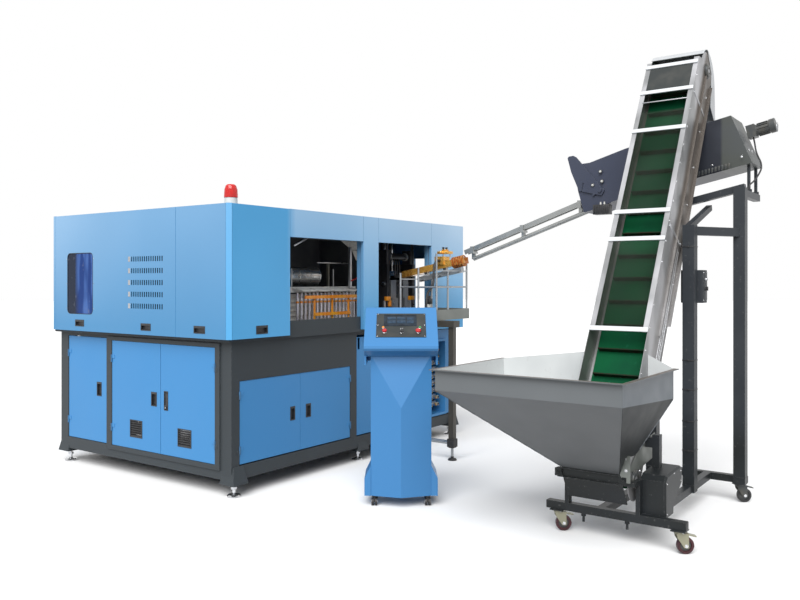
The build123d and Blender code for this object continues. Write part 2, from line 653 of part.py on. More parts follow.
def console_housing():
    """Console: prow-shaped pedestal with spread feet under a sloping desk head."""
    prow = 175.0
    plan = [(-CONSOLE_HALF, -105), (0, -prow), (CONSOLE_HALF, -105), (CONSOLE_HALF, 165), (-CONSOLE_HALF, 165)]
    body = profile_xy(plan, (72, 1072))
    slope_cut = [(-300, 700 - 700), (-prow, 700), (-105, 1072), (-105, 1100), (-300, 1100)]
    body -= profile_yz(slope_cut, (-CONSOLE_HALF - 1, CONSOLE_HALF + 1))
    for side in (-1, 1):
        flare = [(side * CONSOLE_HALF, 72), (side * (CONSOLE_HALF + 45), 72), (side * (CONSOLE_HALF + 45), 195),
                 (side * CONSOLE_HALF, 285)]
        body += profile_xz(flare, (-110, 165))
    head = [(200, 1000), (200, 1385), (190, 1395), (150, 1395), (-190, 1395 - 340 * tan(PANEL_SLOPE)),
            (-212, 1140), (-214, 1122), (-205, 1106), (-180, 1100), (-120, 1066), (-120, 1000)]
    desk = profile_yz(head, (-HEAD_HALF, HEAD_HALF))
    under = block((-CONSOLE_HALF, CONSOLE_HALF), (-130, 165), (999, 1066))
    skirt_gap = block((-HEAD_HALF + 14, HEAD_HALF - 14), (-121, 186), (999, 1060))
    desk -= skirt_gap
    body = body + desk + (under & body)
    body -= console_plane(out=-6) * Box(355, 275, 12, align=(Align.CENTER, Align.CENTER, Align.MIN))
    for across in (-118, 122, 4):
        body -= console_plane(-78, across, -60) * Cylinder(16, 60, align=(Align.CENTER, Align.CENTER, Align.MIN))
    return turn_console(body)


def control_plate():
    """Dark plate of the control face, with the screen recess and the bores of the controls."""
    plate = console_plane(out=-6) * Box(355, 275, 10, align=(Align.CENTER, Align.CENTER, Align.MIN))
    plate -= console_plane(55, -6, 1) * Box(236, 132, 4, align=(Align.CENTER, Align.CENTER, Align.MIN))
    for across in (-118, 122, 4):
        plate -= console_plane(-78, across, -7) * Cylinder(11.1, 12, align=(Align.CENTER, Align.CENTER, Align.MIN))
    return turn_console(plate)


def touch_screen():
    """Screen with its bezel, set in the plate."""
    screen = console_plane(55, -6, 1) * Box(236, 132, 6, align=(Align.CENTER, Align.CENTER, Align.MIN))
    screen -= console_plane(55, -6, 6) * Box(212, 108, 2, align=(Align.CENTER, Align.CENTER, Align.MIN))
    return turn_console(screen)


def mushroom(across, radius):
    """Mushroom head push button with its stem in the plate."""
    outline = [(0, -20), (11, -20), (11, 12), (radius, 14), (radius, 19), (radius - 4, 24), (0, 27)]
    button = revolve(Plane.XZ * outline_face(outline), Axis.Z)
    plane = console_plane(-78, across, 0)
    return turn_console(plane * button)


def mode_selector():
    """Rotary selector with a raised grip."""
    outline = [(0, -20), (11, -20), (11, 4.4), (16, 4.4), (16, 9), (13, 12), (0, 12)]
    knob = revolve(Plane.XZ * outline_face(outline), Axis.Z)
    knob += block((-3.5, 3.5), (-14, 14), (11, 22))
    return turn_console(console_plane(-78, 4, 0) * knob)


def console_castors():
    """Four small twin-wheel castors of the console, brakes on."""
    castors = []
    for x, y in ((-190, -80), (190, -80), (-190, 130), (190, 130)):
        castor = rod((x, y, 60), (x, y, 72), 20)
        castor += block((x - 4, x + 4), (y - 22, y + 16), (24, 60))
        for side in (-1, 1):
            castor += rod((x + side * 4, y - 8, 27), (x + side * 20, y - 8, 27), 27)
        castors.append(turn_console(castor))
    return castors


# Elevator, drawn on its slope: s runs up along the front edge, t is the depth behind it
def slope_point(s, t):
    """X and Z of a point on the conveyor's side."""
    return (FRONT_LINE_X + s * cos(SLOPE) + t * sin(SLOPE), FRONT_LINE_Z + s * sin(SLOPE) - t * cos(SLOPE))


def slope_solid(face, y):
    """Conveyor outline, drawn in s and minus t, as wide as the range y."""
    plane = Plane(origin=(FRONT_LINE_X, y[1], FRONT_LINE_Z), x_dir=(cos(SLOPE), 0, sin(SLOPE)), z_dir=(0, -1, 0))
    return extrude(plane * face, y[1] - y[0])


def slope_block(s, t, y):
    """Box on the slope between stations s, depths t and the range y."""
    points = [(s[0], -t[0]), (s[1], -t[0]), (s[1], -t[1]), (s[0], -t[1])]
    return slope_solid(outline_face(points), y)


NOSE_RADIUS = 145.0
TAIL_RADIUS = 125.0
TRIM_STATION = -835.0
BAR_STATIONS = [(z - FRONT_LINE_Z) / sin(SLOPE) for z in (1283.0, 1879.0, 2075.0, 2697.0, 3012.0, 3232.0)]


def side_plate_face():
    """Outline of a conveyor side plate: straight sides, round nose and round tail."""
    head_s, tail_s = HEAD_STATION, TAIL_STATION
    top = Polyline((TRIM_STATION, 0), (head_s - 40, 0))
    nose_in = Line((head_s - 40, 0), (head_s, -ROLLER_DEPTH + NOSE_RADIUS))
    nose = ThreePointArc((head_s, -ROLLER_DEPTH + NOSE_RADIUS), (head_s + NOSE_RADIUS, -ROLLER_DEPTH),
                         (head_s, -ROLLER_DEPTH - NOSE_RADIUS))
    back_in = Line((head_s, -ROLLER_DEPTH - NOSE_RADIUS), (head_s - 60, -CONVEYOR_DEPTH))
    back = Line((head_s - 60, -CONVEYOR_DEPTH), (tail_s, -CONVEYOR_DEPTH))
    tail = ThreePointArc((tail_s, -CONVEYOR_DEPTH), (tail_s - TAIL_RADIUS, -ROLLER_DEPTH),
                         (tail_s + 20, -ROLLER_DEPTH + 74))
    trim = Line((tail_s + 20, -ROLLER_DEPTH + 74), (TRIM_STATION, 0))
    return make_face([top, nose_in, nose, back_in, back, tail, trim])


def conveyor_trough():
    """Stainless conveyor frame: two flanged side plates, slider bed, back cover, bearings."""
    face = side_plate_face()
    y0, y1 = CONVEYOR_Y
    trough = slope_solid(face, (y0, y0 + SIDE_PLATE)) + slope_solid(face, (y1 - SIDE_PLATE, y1))
    straight = (0.0, HEAD_STATION - 40)
    for flange_y in ((y0, y0 + 35), (y1 - 35, y1)):
        trough += slope_block(straight, (0, SIDE_PLATE), flange_y)
    for lip_y in ((y0 - 22, y0), (y1, y1 + 22)):
        trough += slope_block((200, HEAD_STATION - 60), (CONVEYOR_DEPTH - SIDE_PLATE, CONVEYOR_DEPTH), lip_y)
        trough += slope_block((60, HEAD_STATION - 60), (196, 202), (lip_y[0] + 8, lip_y[1]) if lip_y[1] == y0
                              else (lip_y[0], lip_y[1] - 8))
    inner = (y0 + SIDE_PLATE, y1 - SIDE_PLATE)
    bed_depth = BELT_FRONT + BELT_THICKNESS + ROLLER_PLAY
    trough += slope_block((TAIL_STATION + 90, HEAD_STATION - 90), (bed_depth, bed_depth + 3), inner)
    trough += slope_block((TAIL_STATION + 60, HEAD_STATION - 60), (CONVEYOR_DEPTH - 3, CONVEYOR_DEPTH), inner)
    for station in (-400, 500, 1400):
        trough += slope_block((station, station + 40), (bed_depth + 3, bed_depth + 60), inner)
    for station in (TAIL_STATION, HEAD_STATION):
        x, z = slope_point(station, ROLLER_DEPTH)
        for bearing_y in ((y0 - 16, y0 + SIDE_PLATE), (y1 - SIDE_PLATE, y1 + 16)):
            trough += rod((x, bearing_y[0], z), (x, bearing_y[1], z), 42)
        trough -= rod((x, y0 - 20, z), (x, y1 + 20, z), SHAFT_RADIUS + SHAFT_PLAY)
    return trough


def cover_bars():
    """White cross bars over the front of the conveyor, on pads beside the cover sheets."""
    bars = []
    y0, y1 = CONVEYOR_Y
    for station in BAR_STATIONS:
        s = (station - 16, station + 16)
        bar = slope_block(s, (-10, -3), (y0, y1))
        bar += slope_block(s, (-3, 0), (y0, y0 + 34)) + slope_block(s, (-3, 0), (y1 - 34, y1))
        bars.append(bar)
    return bars


def conveyor_covers():
    """Two clear sheets held under the cross bars."""
    y = (CONVEYOR_Y[0] + 35, CONVEYOR_Y[1] - 35)
    heights = ((1300.0, 1895.0), (2052.0, 2850.0))
    sheets = []
    for low, high in heights:
        s = ((low - FRONT_LINE_Z) / sin(SLOPE), (high - FRONT_LINE_Z) / sin(SLOPE))
        sheets.append(slope_block(s, (-3, 0), y))
    return sheets


def belt_loop(radius):
    """Outline of the belt loop at one radius from the roller axes."""
    width = HEAD_STATION - TAIL_STATION + 2 * radius
    centre = ((HEAD_STATION + TAIL_STATION) / 2, -ROLLER_DEPTH)
    return Pos(*centre) * SlotOverall(width, 2 * radius)


def conveyor_belt():
    """Endless belt with cross cleats on its outside."""
    inner = ROLLER_RADIUS + ROLLER_PLAY
    outer = ROLLER_RADIUS + BELT_THICKNESS
    y = (CONVEYOR_Y[0] + 20, CONVEYOR_Y[1] - 20)
    belt = slope_solid(belt_loop(outer) - belt_loop(inner), y)
    pitch = (HEAD_STATION - TAIL_STATION) / CLEAT_COUNT
    cleat_y = (y[0] + 18, y[1] - 18)
    back = BELT_FRONT + 2 * outer
    for step in range(CLEAT_COUNT):
        s = TAIL_STATION + pitch * (step + 0.5)
        belt += slope_block((s - 4, s + 4), (BELT_FRONT - CLEAT_HEIGHT, BELT_FRONT + 0.1), cleat_y)
        belt += slope_block((s - 4, s + 4), (back - 0.1, back + CLEAT_HEIGHT), cleat_y)
    return belt


def belt_roller(station):
    """Belt roller with stepped shafts in the side plates' bearings."""
    x, z = slope_point(station, ROLLER_DEPTH)
    y0, y1 = CONVEYOR_Y
    roller = rod((x, y0 + 12, z), (x, y1 - 12, z), ROLLER_RADIUS)
    return roller + rod((x, y0 - 18, z), (x, y1 + 18, z), SHAFT_RADIUS)


def discharge_hood():
    """White curved sheet over the nose and down the back, with its two cheeks."""
    y0, y1 = CONVEYOR_Y
    nose_x, nose_z = slope_point(HEAD_STATION, ROLLER_DEPTH)
    lip = (nose_x - 96, nose_z + 118)
    crown = (nose_x + 20, nose_z + 166)
    far = (nose_x + 215, nose_z - 90)
    foot = (nose_x + 232, nose_z - 380)
    thin = 3.0
    outer = [ThreePointArc(lip, (nose_x - 42, nose_z + 156), crown),
             ThreePointArc(crown, (nose_x + 150, nose_z + 80), far), Line(far, foot)]
    lip_in = (lip[0] + 2, lip[1] - thin)
    crown_in = (crown[0], crown[1] - thin)
    far_in = (far[0] - thin, far[1])
    foot_in = (foot[0] - thin, foot[1])
    inner = [Line(foot, foot_in), Line(foot_in, far_in),
             ThreePointArc(far_in, (nose_x + 150 - 2, nose_z + 80 - 2), crown_in),
             ThreePointArc(crown_in, (nose_x - 42 + 1, nose_z + 156 - thin), lip_in), Line(lip_in, lip)]
    plane = Plane(origin=(0, y1 + 4, 0), x_dir=(1, 0, 0), z_dir=(0, -1, 0))
    hood = extrude(plane * make_face(outer + inner), y1 - y0 + 8)
    inner_edge = [Line(foot, (nose_x + 95, nose_z - 260)), Line((nose_x + 95, nose_z - 260), (nose_x + 130, nose_z)),
                  Line((nose_x + 130, nose_z), crown), ThreePointArc(crown, (nose_x + 150, nose_z + 80), far),
                  Line(far, foot)]
    cheek_face = make_face(inner_edge)
    for edge_y in ((y0 - 4, y0 - 1), (y1 + 1, y1 + 4)):
        side = Plane(origin=(0, edge_y[1], 0), x_dir=(1, 0, 0), z_dir=(0, -1, 0))
        hood += extrude(side * cheek_face, edge_y[1] - edge_y[0])
    return hood


HOPPER_RIM_X = (90.0, 975.0)
HOPPER_RIM_Y = (-2900.0, -1715.0)
HOPPER_RIM_Z = 1050.0
HOPPER_FOLD_Z = 920.0
HOPPER_TILT = 0.062
HOPPER_MOUTH_X = (606.0, 676.0)
HOPPER_MOUTH_Y = (-2690.0, -2324.0)
HOPPER_MOUTH_Z = 434.0
HOPPER_SHEET = 3.0
HOPPER_LIP = 28.0
HOPPER_WING_TOP = 1130.0


def tilted_rectangle(x, y, z_front, shrink=0.0):
    """Rectangular face that falls gently from its front edge, drawn in by a sheet thickness."""
    corners = []
    for corner_x, corner_y in ((x[0] + shrink, y[0] + shrink), (x[1] - shrink, y[0] + shrink),
                               (x[1] - shrink, y[1] - shrink), (x[0] + shrink, y[1] - shrink)):
        corners.append((corner_x, corner_y, z_front - HOPPER_TILT * (corner_x - x[0])))
    return make_face(Polyline(*corners, close=True))


def hopper_skirt(shrink=0.0):
    """Upright part of the hopper as a solid, its lower edge falling towards the back."""
    x = (HOPPER_RIM_X[0] + shrink, HOPPER_RIM_X[1] - shrink)
    y = (HOPPER_RIM_Y[0] + shrink, HOPPER_RIM_Y[1] - shrink)
    back_z = HOPPER_FOLD_Z - HOPPER_TILT * (HOPPER_RIM_X[1] - HOPPER_RIM_X[0])
    outline = [(x[0], HOPPER_FOLD_Z - HOPPER_TILT * shrink), (x[0], HOPPER_RIM_Z), (x[1], HOPPER_RIM_Z),
               (x[1], back_z + HOPPER_TILT * shrink)]
    return profile_xz(outline, y)


def hopper():
    """Folded stainless hopper: upright skirt with a flat lip over four sloping walls."""
    sheet = HOPPER_SHEET
    outer = loft([tilted_rectangle(HOPPER_MOUTH_X, HOPPER_MOUTH_Y, HOPPER_MOUTH_Z),
                  tilted_rectangle(HOPPER_RIM_X, HOPPER_RIM_Y, HOPPER_FOLD_Z)])
    inner = loft([tilted_rectangle(HOPPER_MOUTH_X, HOPPER_MOUTH_Y, HOPPER_MOUTH_Z, sheet),
                  tilted_rectangle(HOPPER_RIM_X, HOPPER_RIM_Y, HOPPER_FOLD_Z, sheet)])
    skirt_inner = hopper_skirt(sheet)
    lip = block((HOPPER_RIM_X[0] - HOPPER_LIP, HOPPER_RIM_X[1] + HOPPER_LIP),
                (HOPPER_RIM_Y[0] - HOPPER_LIP, HOPPER_RIM_Y[1] + HOPPER_LIP), (HOPPER_RIM_Z - 5, HOPPER_RIM_Z))
    body = (outer - inner) + (hopper_skirt() - skirt_inner) + (lip - skirt_inner)
    x_back = HOPPER_RIM_X[1]
    low_z, high_z = HOPPER_RIM_Z, HOPPER_WING_TOP
    right_y, left_y = CONVEYOR_Y[0] - 1, CONVEYOR_Y[1] + 1
    for wing in ([(HOPPER_RIM_Y[0], low_z), (right_y, low_z), (right_y, high_z)],
                 [(HOPPER_RIM_Y[1], low_z), (left_y, high_z), (left_y, low_z)]):
        body += profile_yz(wing, (x_back - sheet, x_back))
    gap = 1.0
    clear = 8.0
    tail = [(600, clear), (TRIM_STATION - clear, clear), (TAIL_STATION + 12, -138), (TAIL_STATION - 20, -150),
            (TAIL_STATION - 140, -ROLLER_DEPTH), (TAIL_STATION - 20, -CONVEYOR_DEPTH - 4), (600, -CONVEYOR_DEPTH - 4)]
    return body - slope_solid(outline_face(tail), (CONVEYOR_Y[0] - gap, CONVEYOR_Y[1] + gap))


def jack_bolt(x, y):
    """Levelling screw that hangs under the elevator's bar."""
    return rod((x, y, 84), (x, y, ELEVATOR_BAR_Z[0] + 1), 8) + rod((x, y, 120), (x, y, 140), 15)


CASTOR_PINS = {
    "front_left": (FRONT_BAR_X, -2250.0),
    "front_right": (FRONT_BAR_X, -3014.0),
    "rear_left": (REAR_BAR_X, -2420.0),
    "rear_right": (REAR_BAR_X, -3035.0),
}
PLATE_Z = 134.0
FORK_TOP = PLATE_Z - 12.0


def elevator_frame():
    """Mobile frame: ladder of bars on castor plates, columns, beams, drive housing, switch box."""
    z = ELEVATOR_BAR_Z
    mid = (z[0] + z[1]) / 2
    frame = block((FRONT_BAR_X - 25, FRONT_BAR_X + 25), (-3055, -2180), z)
    frame += block((REAR_BAR_X - 25, REAR_BAR_X + 25), (-3085, -2380), z)
    for y in (-2815.0, -2530.0):
        frame += block((FRONT_BAR_X, REAR_BAR_X), (y - 25, y + 25), z)
    column_one = (1626.0, -2815.0)
    column_two = (REAR_BAR_X - 40, -3050.0)
    column_three = (REAR_BAR_X - 40, -2420.0)
    half = COLUMN / 2
    frame += block((column_one[0] - half, column_one[0] + half), (column_one[1] - half, column_one[1] + half),
                   (z[0], 1980))
    for x, y in (column_two, column_three):
        top = 2262.0 if y < -2700 else 2128.0
        frame += block((x - half, x + half), (y - half, y + half), (z[0], top))
    frame += beam((*column_one, 1940), (column_two[0], column_two[1], 1940), 50, 60)
    frame += beam((column_two[0], -3085, 2262), (column_three[0], -2380, 2110), 60, 50)
    for x, y in (column_two, column_three):
        top = 2262.0 if y < -2700 else 2128.0
        frame += block((x, TROUGH_X[1] - 30), (y - 25, y + 25), (top - 60, top - 10))
        for screw_x in (TROUGH_X[0] + 60, TROUGH_X[1] - 60):
            seat = trough_floor(y) + 8
            frame += rod((screw_x, y, top - 12), (screw_x, y, seat), 12)
            frame += rod((screw_x, y, top - 10), (screw_x, y, top + 12), 22)
    frame -= profile_yz(TROUGH_OUTLINE, TROUGH_X)
    frame += beam((TROUGH_X[0] - 70, -2800, 2140), (column_one[0], -2800, 1960), 40, 40)
    for x, y in CASTOR_PINS.values():
        plate = block((x - 45, x + 45), (y - 42, y + 42), (PLATE_Z, z[0]))
        frame += plate
        frame -= rod((x, y, PLATE_Z - 1), (x, y, z[0] + 30), 6.08)
    for y in (-2420.0, -2700.0):
        frame += jack_bolt(FRONT_BAR_X, y)
    frame += hopper_stand()
    frame += column_box(column_one)
    frame += drive_housing()
    return frame


STAND_LEG_X = (690.0, 740.0)
STAND_LEG_Y = ((CONVEYOR_Y[0] - 46, CONVEYOR_Y[0] - 20), (CONVEYOR_Y[1] + 20, CONVEYOR_Y[1] + 46))
STAND_TOP_Z = 400.0
TRANSOM_X = (596.0, 616.0)
TRANSOM_Y = (HOPPER_MOUTH_Y[0] - 36, HOPPER_MOUTH_Y[1] + 28)
TRANSOM_Z = (374.0, HOPPER_MOUTH_Z - HOPPER_TILT * (TRANSOM_X[1] - HOPPER_MOUTH_X[0]))
TRANSOM_SHEET = 6.0
TIE_BOLT_Z = 404.0
TIE_BOLT_REACH = 14.0
TIE_PAD_Z = (380.0, 428.0)
BOOT_X = (590.0, 670.0)
BOOT_FOOT_Z = 246.0
STRUT_X = (905.0, 955.0)
STRUT_Y = (CONVEYOR_Y[0] - 95, CONVEYOR_Y[0] - 50)
STRUT_TOP_Z = 640.0
STRUT_BRACKET_Z = (560.0, 620.0)


def hopper_stand():
    """Legs with the cross bar under the hopper's mouth, the boot plate and the rear strut."""
    bar_foot = TRANSOM_Z[0]
    stand = block(TRANSOM_X, TRANSOM_Y, TRANSOM_Z)
    stand -= block((TRANSOM_X[0] - 1, TRANSOM_X[1] - TRANSOM_SHEET), HOPPER_MOUTH_Y,
                   (bar_foot + TRANSOM_SHEET, TRANSOM_Z[1] - TRANSOM_SHEET))
    for leg_y in STAND_LEG_Y:
        stand += block(STAND_LEG_X, leg_y, (ELEVATOR_BAR_Z[1], STAND_TOP_Z))
        stand += block((TRANSOM_X[0], STAND_LEG_X[1]), leg_y, (bar_foot, STAND_TOP_Z))
    for tie_y in TRANSOM_Y:
        stand += rod((TRANSOM_X[0] - TIE_BOLT_REACH, tie_y, TIE_BOLT_Z), (TRANSOM_X[1], tie_y, TIE_BOLT_Z), 9)
        stand += block((TRANSOM_X[0] - TRANSOM_SHEET, TRANSOM_X[1]), (tie_y - 14, tie_y + 14), TIE_PAD_Z)
    right_arm = (TRANSOM_Y[0], STAND_LEG_Y[0][1])
    stand += block(TRANSOM_X, (min(right_arm), max(right_arm)), (bar_foot, STAND_TOP_Z))
    boot_y = (TRANSOM_Y[0] + 8, HOPPER_MOUTH_Y[1] - 14)
    boot = [(BOOT_X[0], bar_foot), (BOOT_X[0] + 4, bar_foot), (BOOT_X[1], BOOT_FOOT_Z + TRANSOM_SHEET),
            (BOOT_X[1], BOOT_FOOT_Z), (BOOT_X[1] - 5, BOOT_FOOT_Z)]
    stand += profile_xz(boot, boot_y)
    stand += block((BOOT_X[0], TRANSOM_X[1]), boot_y, (bar_foot, bar_foot + TRANSOM_SHEET))
    stand += block(STRUT_X, STRUT_Y, (ELEVATOR_BAR_Z[1], STRUT_TOP_Z))
    stand += block(STRUT_X, (STRUT_Y[1], CONVEYOR_Y[0]), STRUT_BRACKET_Z)
    return stand


def trough_floor(y):
    """Height of the unscrambler's sloping floor at one Y."""
    return 2241.0 + (-2042.0 - y) * (2462.0 - 2241.0) / (3086.0 - 2042.0)


def column_box(column):
    """Switch box strapped to the near column."""
    box = block((column[0] + 40, column[0] + 150), (column[1] - 75, column[1] + 75), (1441, 1669))
    return fillet(box.edges().filter_by(Axis.Z), 6)


HOUSING_OUTLINE = [(742, 168), (900, 168), (905, 235), (1075, 330), (1075, 430), (1040, 442), (775, 428),
                   (742, 396)]
HOUSING_Y = (CONVEYOR_Y[0] - 185, CONVEYOR_Y[0] - 34)
HOUSING_CHAMFER = 12.0


def drive_housing():
    """Sheet cover of the belt drive beside the conveyor's tail, its lower rear corner cut back."""
    housing = profile_xz(HOUSING_OUTLINE, HOUSING_Y)
    edges = housing.faces().sort_by(Axis.Y)[0].edges()
    return chamfer(edges, HOUSING_CHAMFER)


def castor_turn(shape, pin):
    """Turn a castor made trailing along +X so that it trails to the right of the photograph."""
    return Pos(pin[0], pin[1], 0) * (Rot(0, 0, CONSOLE_TURN) * shape)


def castor_fork(pin):
    """Swivel fork of a castor with its pin, cheeks and brake pedal."""
    fork = rod((0, 0, FORK_TOP - 2), (0, 0, PLATE_Z - 1), 30)
    fork += rod((0, 0, PLATE_Z - 2), (0, 0, PLATE_Z + 24), 6)
    fork += block((-26, CASTOR_TRAIL + 16), (-26, 26), (FORK_TOP - 8, FORK_TOP))
    cheek = [(-24, FORK_TOP - 4), (CASTOR_TRAIL + 14, FORK_TOP - 4), (CASTOR_TRAIL + 14, WHEEL_RADIUS - 12),
             (CASTOR_TRAIL - 12, WHEEL_RADIUS - 12), (-20, 96)]
    for side in ((-26, -22), (22, 26)):
        fork += profile_xz(cheek, side)
    fork += rod((CASTOR_TRAIL, -30, WHEEL_RADIUS), (CASTOR_TRAIL, 30, WHEEL_RADIUS), 6)
    pedal = [(CASTOR_TRAIL + 6, 119), (CASTOR_TRAIL + 62, 106), (CASTOR_TRAIL + 60, 100), (CASTOR_TRAIL + 6, 112)]
    fork += profile_xz(pedal, (-18, 18))
    return castor_turn(fork, pin)


def castor_wheel(pin):
    """Castor wheel: tyre, web and hub turned as one profile."""
    outline = [(6.08, -20), (15, -20), (15, -10), (34, -8), (34, -16), (WHEEL_RADIUS - 3, -16), (WHEEL_RADIUS, -12),
               (WHEEL_RADIUS, 12), (WHEEL_RADIUS - 3, 16), (34, 16), (34, 8), (15, 10), (15, 20), (6.08, 20)]
    wheel = revolve(Plane.XZ * outline_face(outline), Axis.Z)
    return castor_turn(Pos(CASTOR_TRAIL, 0, WHEEL_RADIUS) * (Rot(90, 0, 0) * wheel), pin)


RAIL_X = 2400.0
ROLLER_LINES = [RAIL_X - 48.0, RAIL_X + 48.0]
TROUGH_ROLLER_RADIUS = 30.0
TROUGH_ENDS_Y = (-2965.0, -1770.0)


def trough_roller_z(y):
    return trough_floor(y) + 120


TROUGH_OUTLINE = [(-1690, 2560), (-1727, 2341), (-1779, 2160), (-1835, 2172), (-2042, 2241), (-3086, 2462),
                  (-2936, 2827), (-2131, 2656), (-1829, 2568)]


def unscrambler_trough():
    """Sloping sheet trough with end plates, its guard plate and the pivot arm."""
    inner = [(-1700, 2700), (-1735, 2341), (-1790, 2226), (-2042, 2247), (-3076, 2467), (-2900, 2900), (-1700, 2900)]
    trough = profile_yz(TROUGH_OUTLINE, TROUGH_X) - profile_yz(inner, (TROUGH_X[0] + 5, TROUGH_X[1] - 5))
    end = [(-3086, 2462), (-2936, 2827), (-2926, 2820), (-3074, 2462)]
    trough += profile_yz(end, TROUGH_X)
    bulkhead = [(-1800, 2200), (-1820, 2500), (-1812, 2500), (-1790, 2200)]
    trough += profile_yz(bulkhead, TROUGH_X)
    trough -= block((RAIL_X - 24, RAIL_X + 24), (-1830, -1690), (2232, 2400))
    ear = [(-1640, 2618), (-1650, 2632), (-1690, 2636), (-1715, 2622), (-1960, 2330), (-1935, 2290), (-1740, 2340),
           (-1672, 2500)]
    trough += profile_yz(ear, (TROUGH_X[0] - 14, TROUGH_X[0]))
    trough -= profile_yz([(-1775, 2405), (-1785, 2402), (-1770, 2330), (-1760, 2332)],
                         (TROUGH_X[0] - 15, TROUGH_X[0] - 6))
    trough += rod((TROUGH_X[0] - 30, -1925, 2330), (TROUGH_X[0], -1925, 2330), 14)
    trough += rod((TROUGH_X[0] - 20, -1870, 2300), (TROUGH_X[0], -1870, 2300), 9)
    for x in ROLLER_LINES:
        start = (x, TROUGH_ENDS_Y[0] - 180, trough_roller_z(TROUGH_ENDS_Y[0] - 180))
        end_point = (x, TROUGH_ENDS_Y[1] + 60, trough_roller_z(TROUGH_ENDS_Y[1] + 60))
        trough -= rod(start, end_point, 10.06)
    return trough


def unscrambler_roller(x):
    """Sorting roller with its shaft ends."""
    start_y, end_y = TROUGH_ENDS_Y[0] - 10, TROUGH_ENDS_Y[1] - 70
    roller = rod((x, start_y, trough_roller_z(start_y)), (x, end_y, trough_roller_z(end_y)), TROUGH_ROLLER_RADIUS)
    shaft = rod((x, start_y - 70, trough_roller_z(start_y - 70)), (x, end_y + 80, trough_roller_z(end_y + 80)), 10)
    return roller + shaft


def unscrambler_motor():
    """Gear motor at the high end: square gearbox, finned motor and its fan cowl."""
    centre_x = (TROUGH_X[0] + TROUGH_X[1]) / 2
    plane = Plane(origin=(centre_x, -3018, 2712), x_dir=(1, 0, 0), z_dir=(0, -cos(INCLINE), sin(INCLINE)))
    low = (Align.CENTER, Align.CENTER, Align.MIN)
    motor = plane * Box(90, 96, 62, align=low)
    motor += plane * (Pos(0, 0, 62) * Cylinder(44, 130, align=low))
    for step in range(12):
        fin = Pos(0, 0, 76) * (Rot(0, 0, 30 * step) * (Pos(46, 0, 0) * Box(10, 3, 76, align=low)))
        motor += plane * fin
    motor += plane * (Pos(0, 0, 160) * Cylinder(53, 40, align=low))
    return motor


def feed_rail():
    """Inclined rail pair with its lower tube and three clamp brackets."""
    high_y, low_y = -1768.0, -560.0
    slope = (2242.0 - 1846.0) / (1674.0 - 531.0)

    def top_z(y):
        return 2242 + (-1674.0 - y) * slope

    rails = None
    for side in (-30, 30):
        rail = beam((RAIL_X + side, high_y, top_z(high_y)), (RAIL_X + side, low_y, top_z(low_y)), 12, 40)
        rails = rail if rails is None else rails + rail
    rails += rod((RAIL_X, high_y, top_z(high_y) - 88), (RAIL_X, low_y - 80, top_z(low_y - 80) - 88), 19)
    for y in (-1690.0, -1150.0, -640.0):
        z = top_z(y)
        rails += block((RAIL_X - 44, RAIL_X + 44), (y - 16, y + 16), (z - 40, z - 20))
        rails += block((RAIL_X - 12, RAIL_X + 12), (y - 16, y + 16), (z - 92, z - 30))
        rails += block((RAIL_X - 44, RAIL_X - 36), (y - 16, y + 16), (z - 40, z + 26))
    return rails - profile_yz(TROUGH_OUTLINE, TROUGH_X)


CHUTE_START_Y = -555.0
CHUTE_END_Y = 150.0


def chute_z(y):
    return 1800 - 0.19 * (y + 630)


GATE_X = (2345.0, 2455.0)
GATE_Y = (-340.0, -240.0)
GATE_Z = (1745.0, 1822.0)


def feed_chute():
    """Brass chute into the cabinet, with its round coupling ribs and gate block."""
    start = (RAIL_X, CHUTE_START_Y, chute_z(CHUTE_START_Y))
    end = (RAIL_X, CHUTE_END_Y, chute_z(CHUTE_END_Y))
    chute = beam(start, end, 84, 60)
    direction = (Vector(*end) - Vector(*start)).normalized()
    channel_start = Vector(*start) + Vector(0, 0, 18) - direction * 2
    channel_end = Vector(*end) + Vector(0, 0, 18) + direction * 2
    chute -= beam(tuple(channel_start), tuple(channel_end), 60, 44)
    for step in range(5):
        centre = Vector(*start) + direction * (20 + 26 * step)
        tip = centre + direction * 12
        chute += rod(tuple(centre), tuple(tip), 54) - beam(tuple(channel_start), tuple(channel_end), 60, 44)
    chute += block(GATE_X, GATE_Y, GATE_Z)
    return chute - beam(tuple(channel_start), tuple(channel_end), 60, 44)


TRAY_X = (1975.0, 2550.0)
TRAY_Y = (-500.0, -75.0)
TRAY_Z = 1236.0
TRAY_WALL = 95.0
STAND_POST = (2028.0, -635.0)


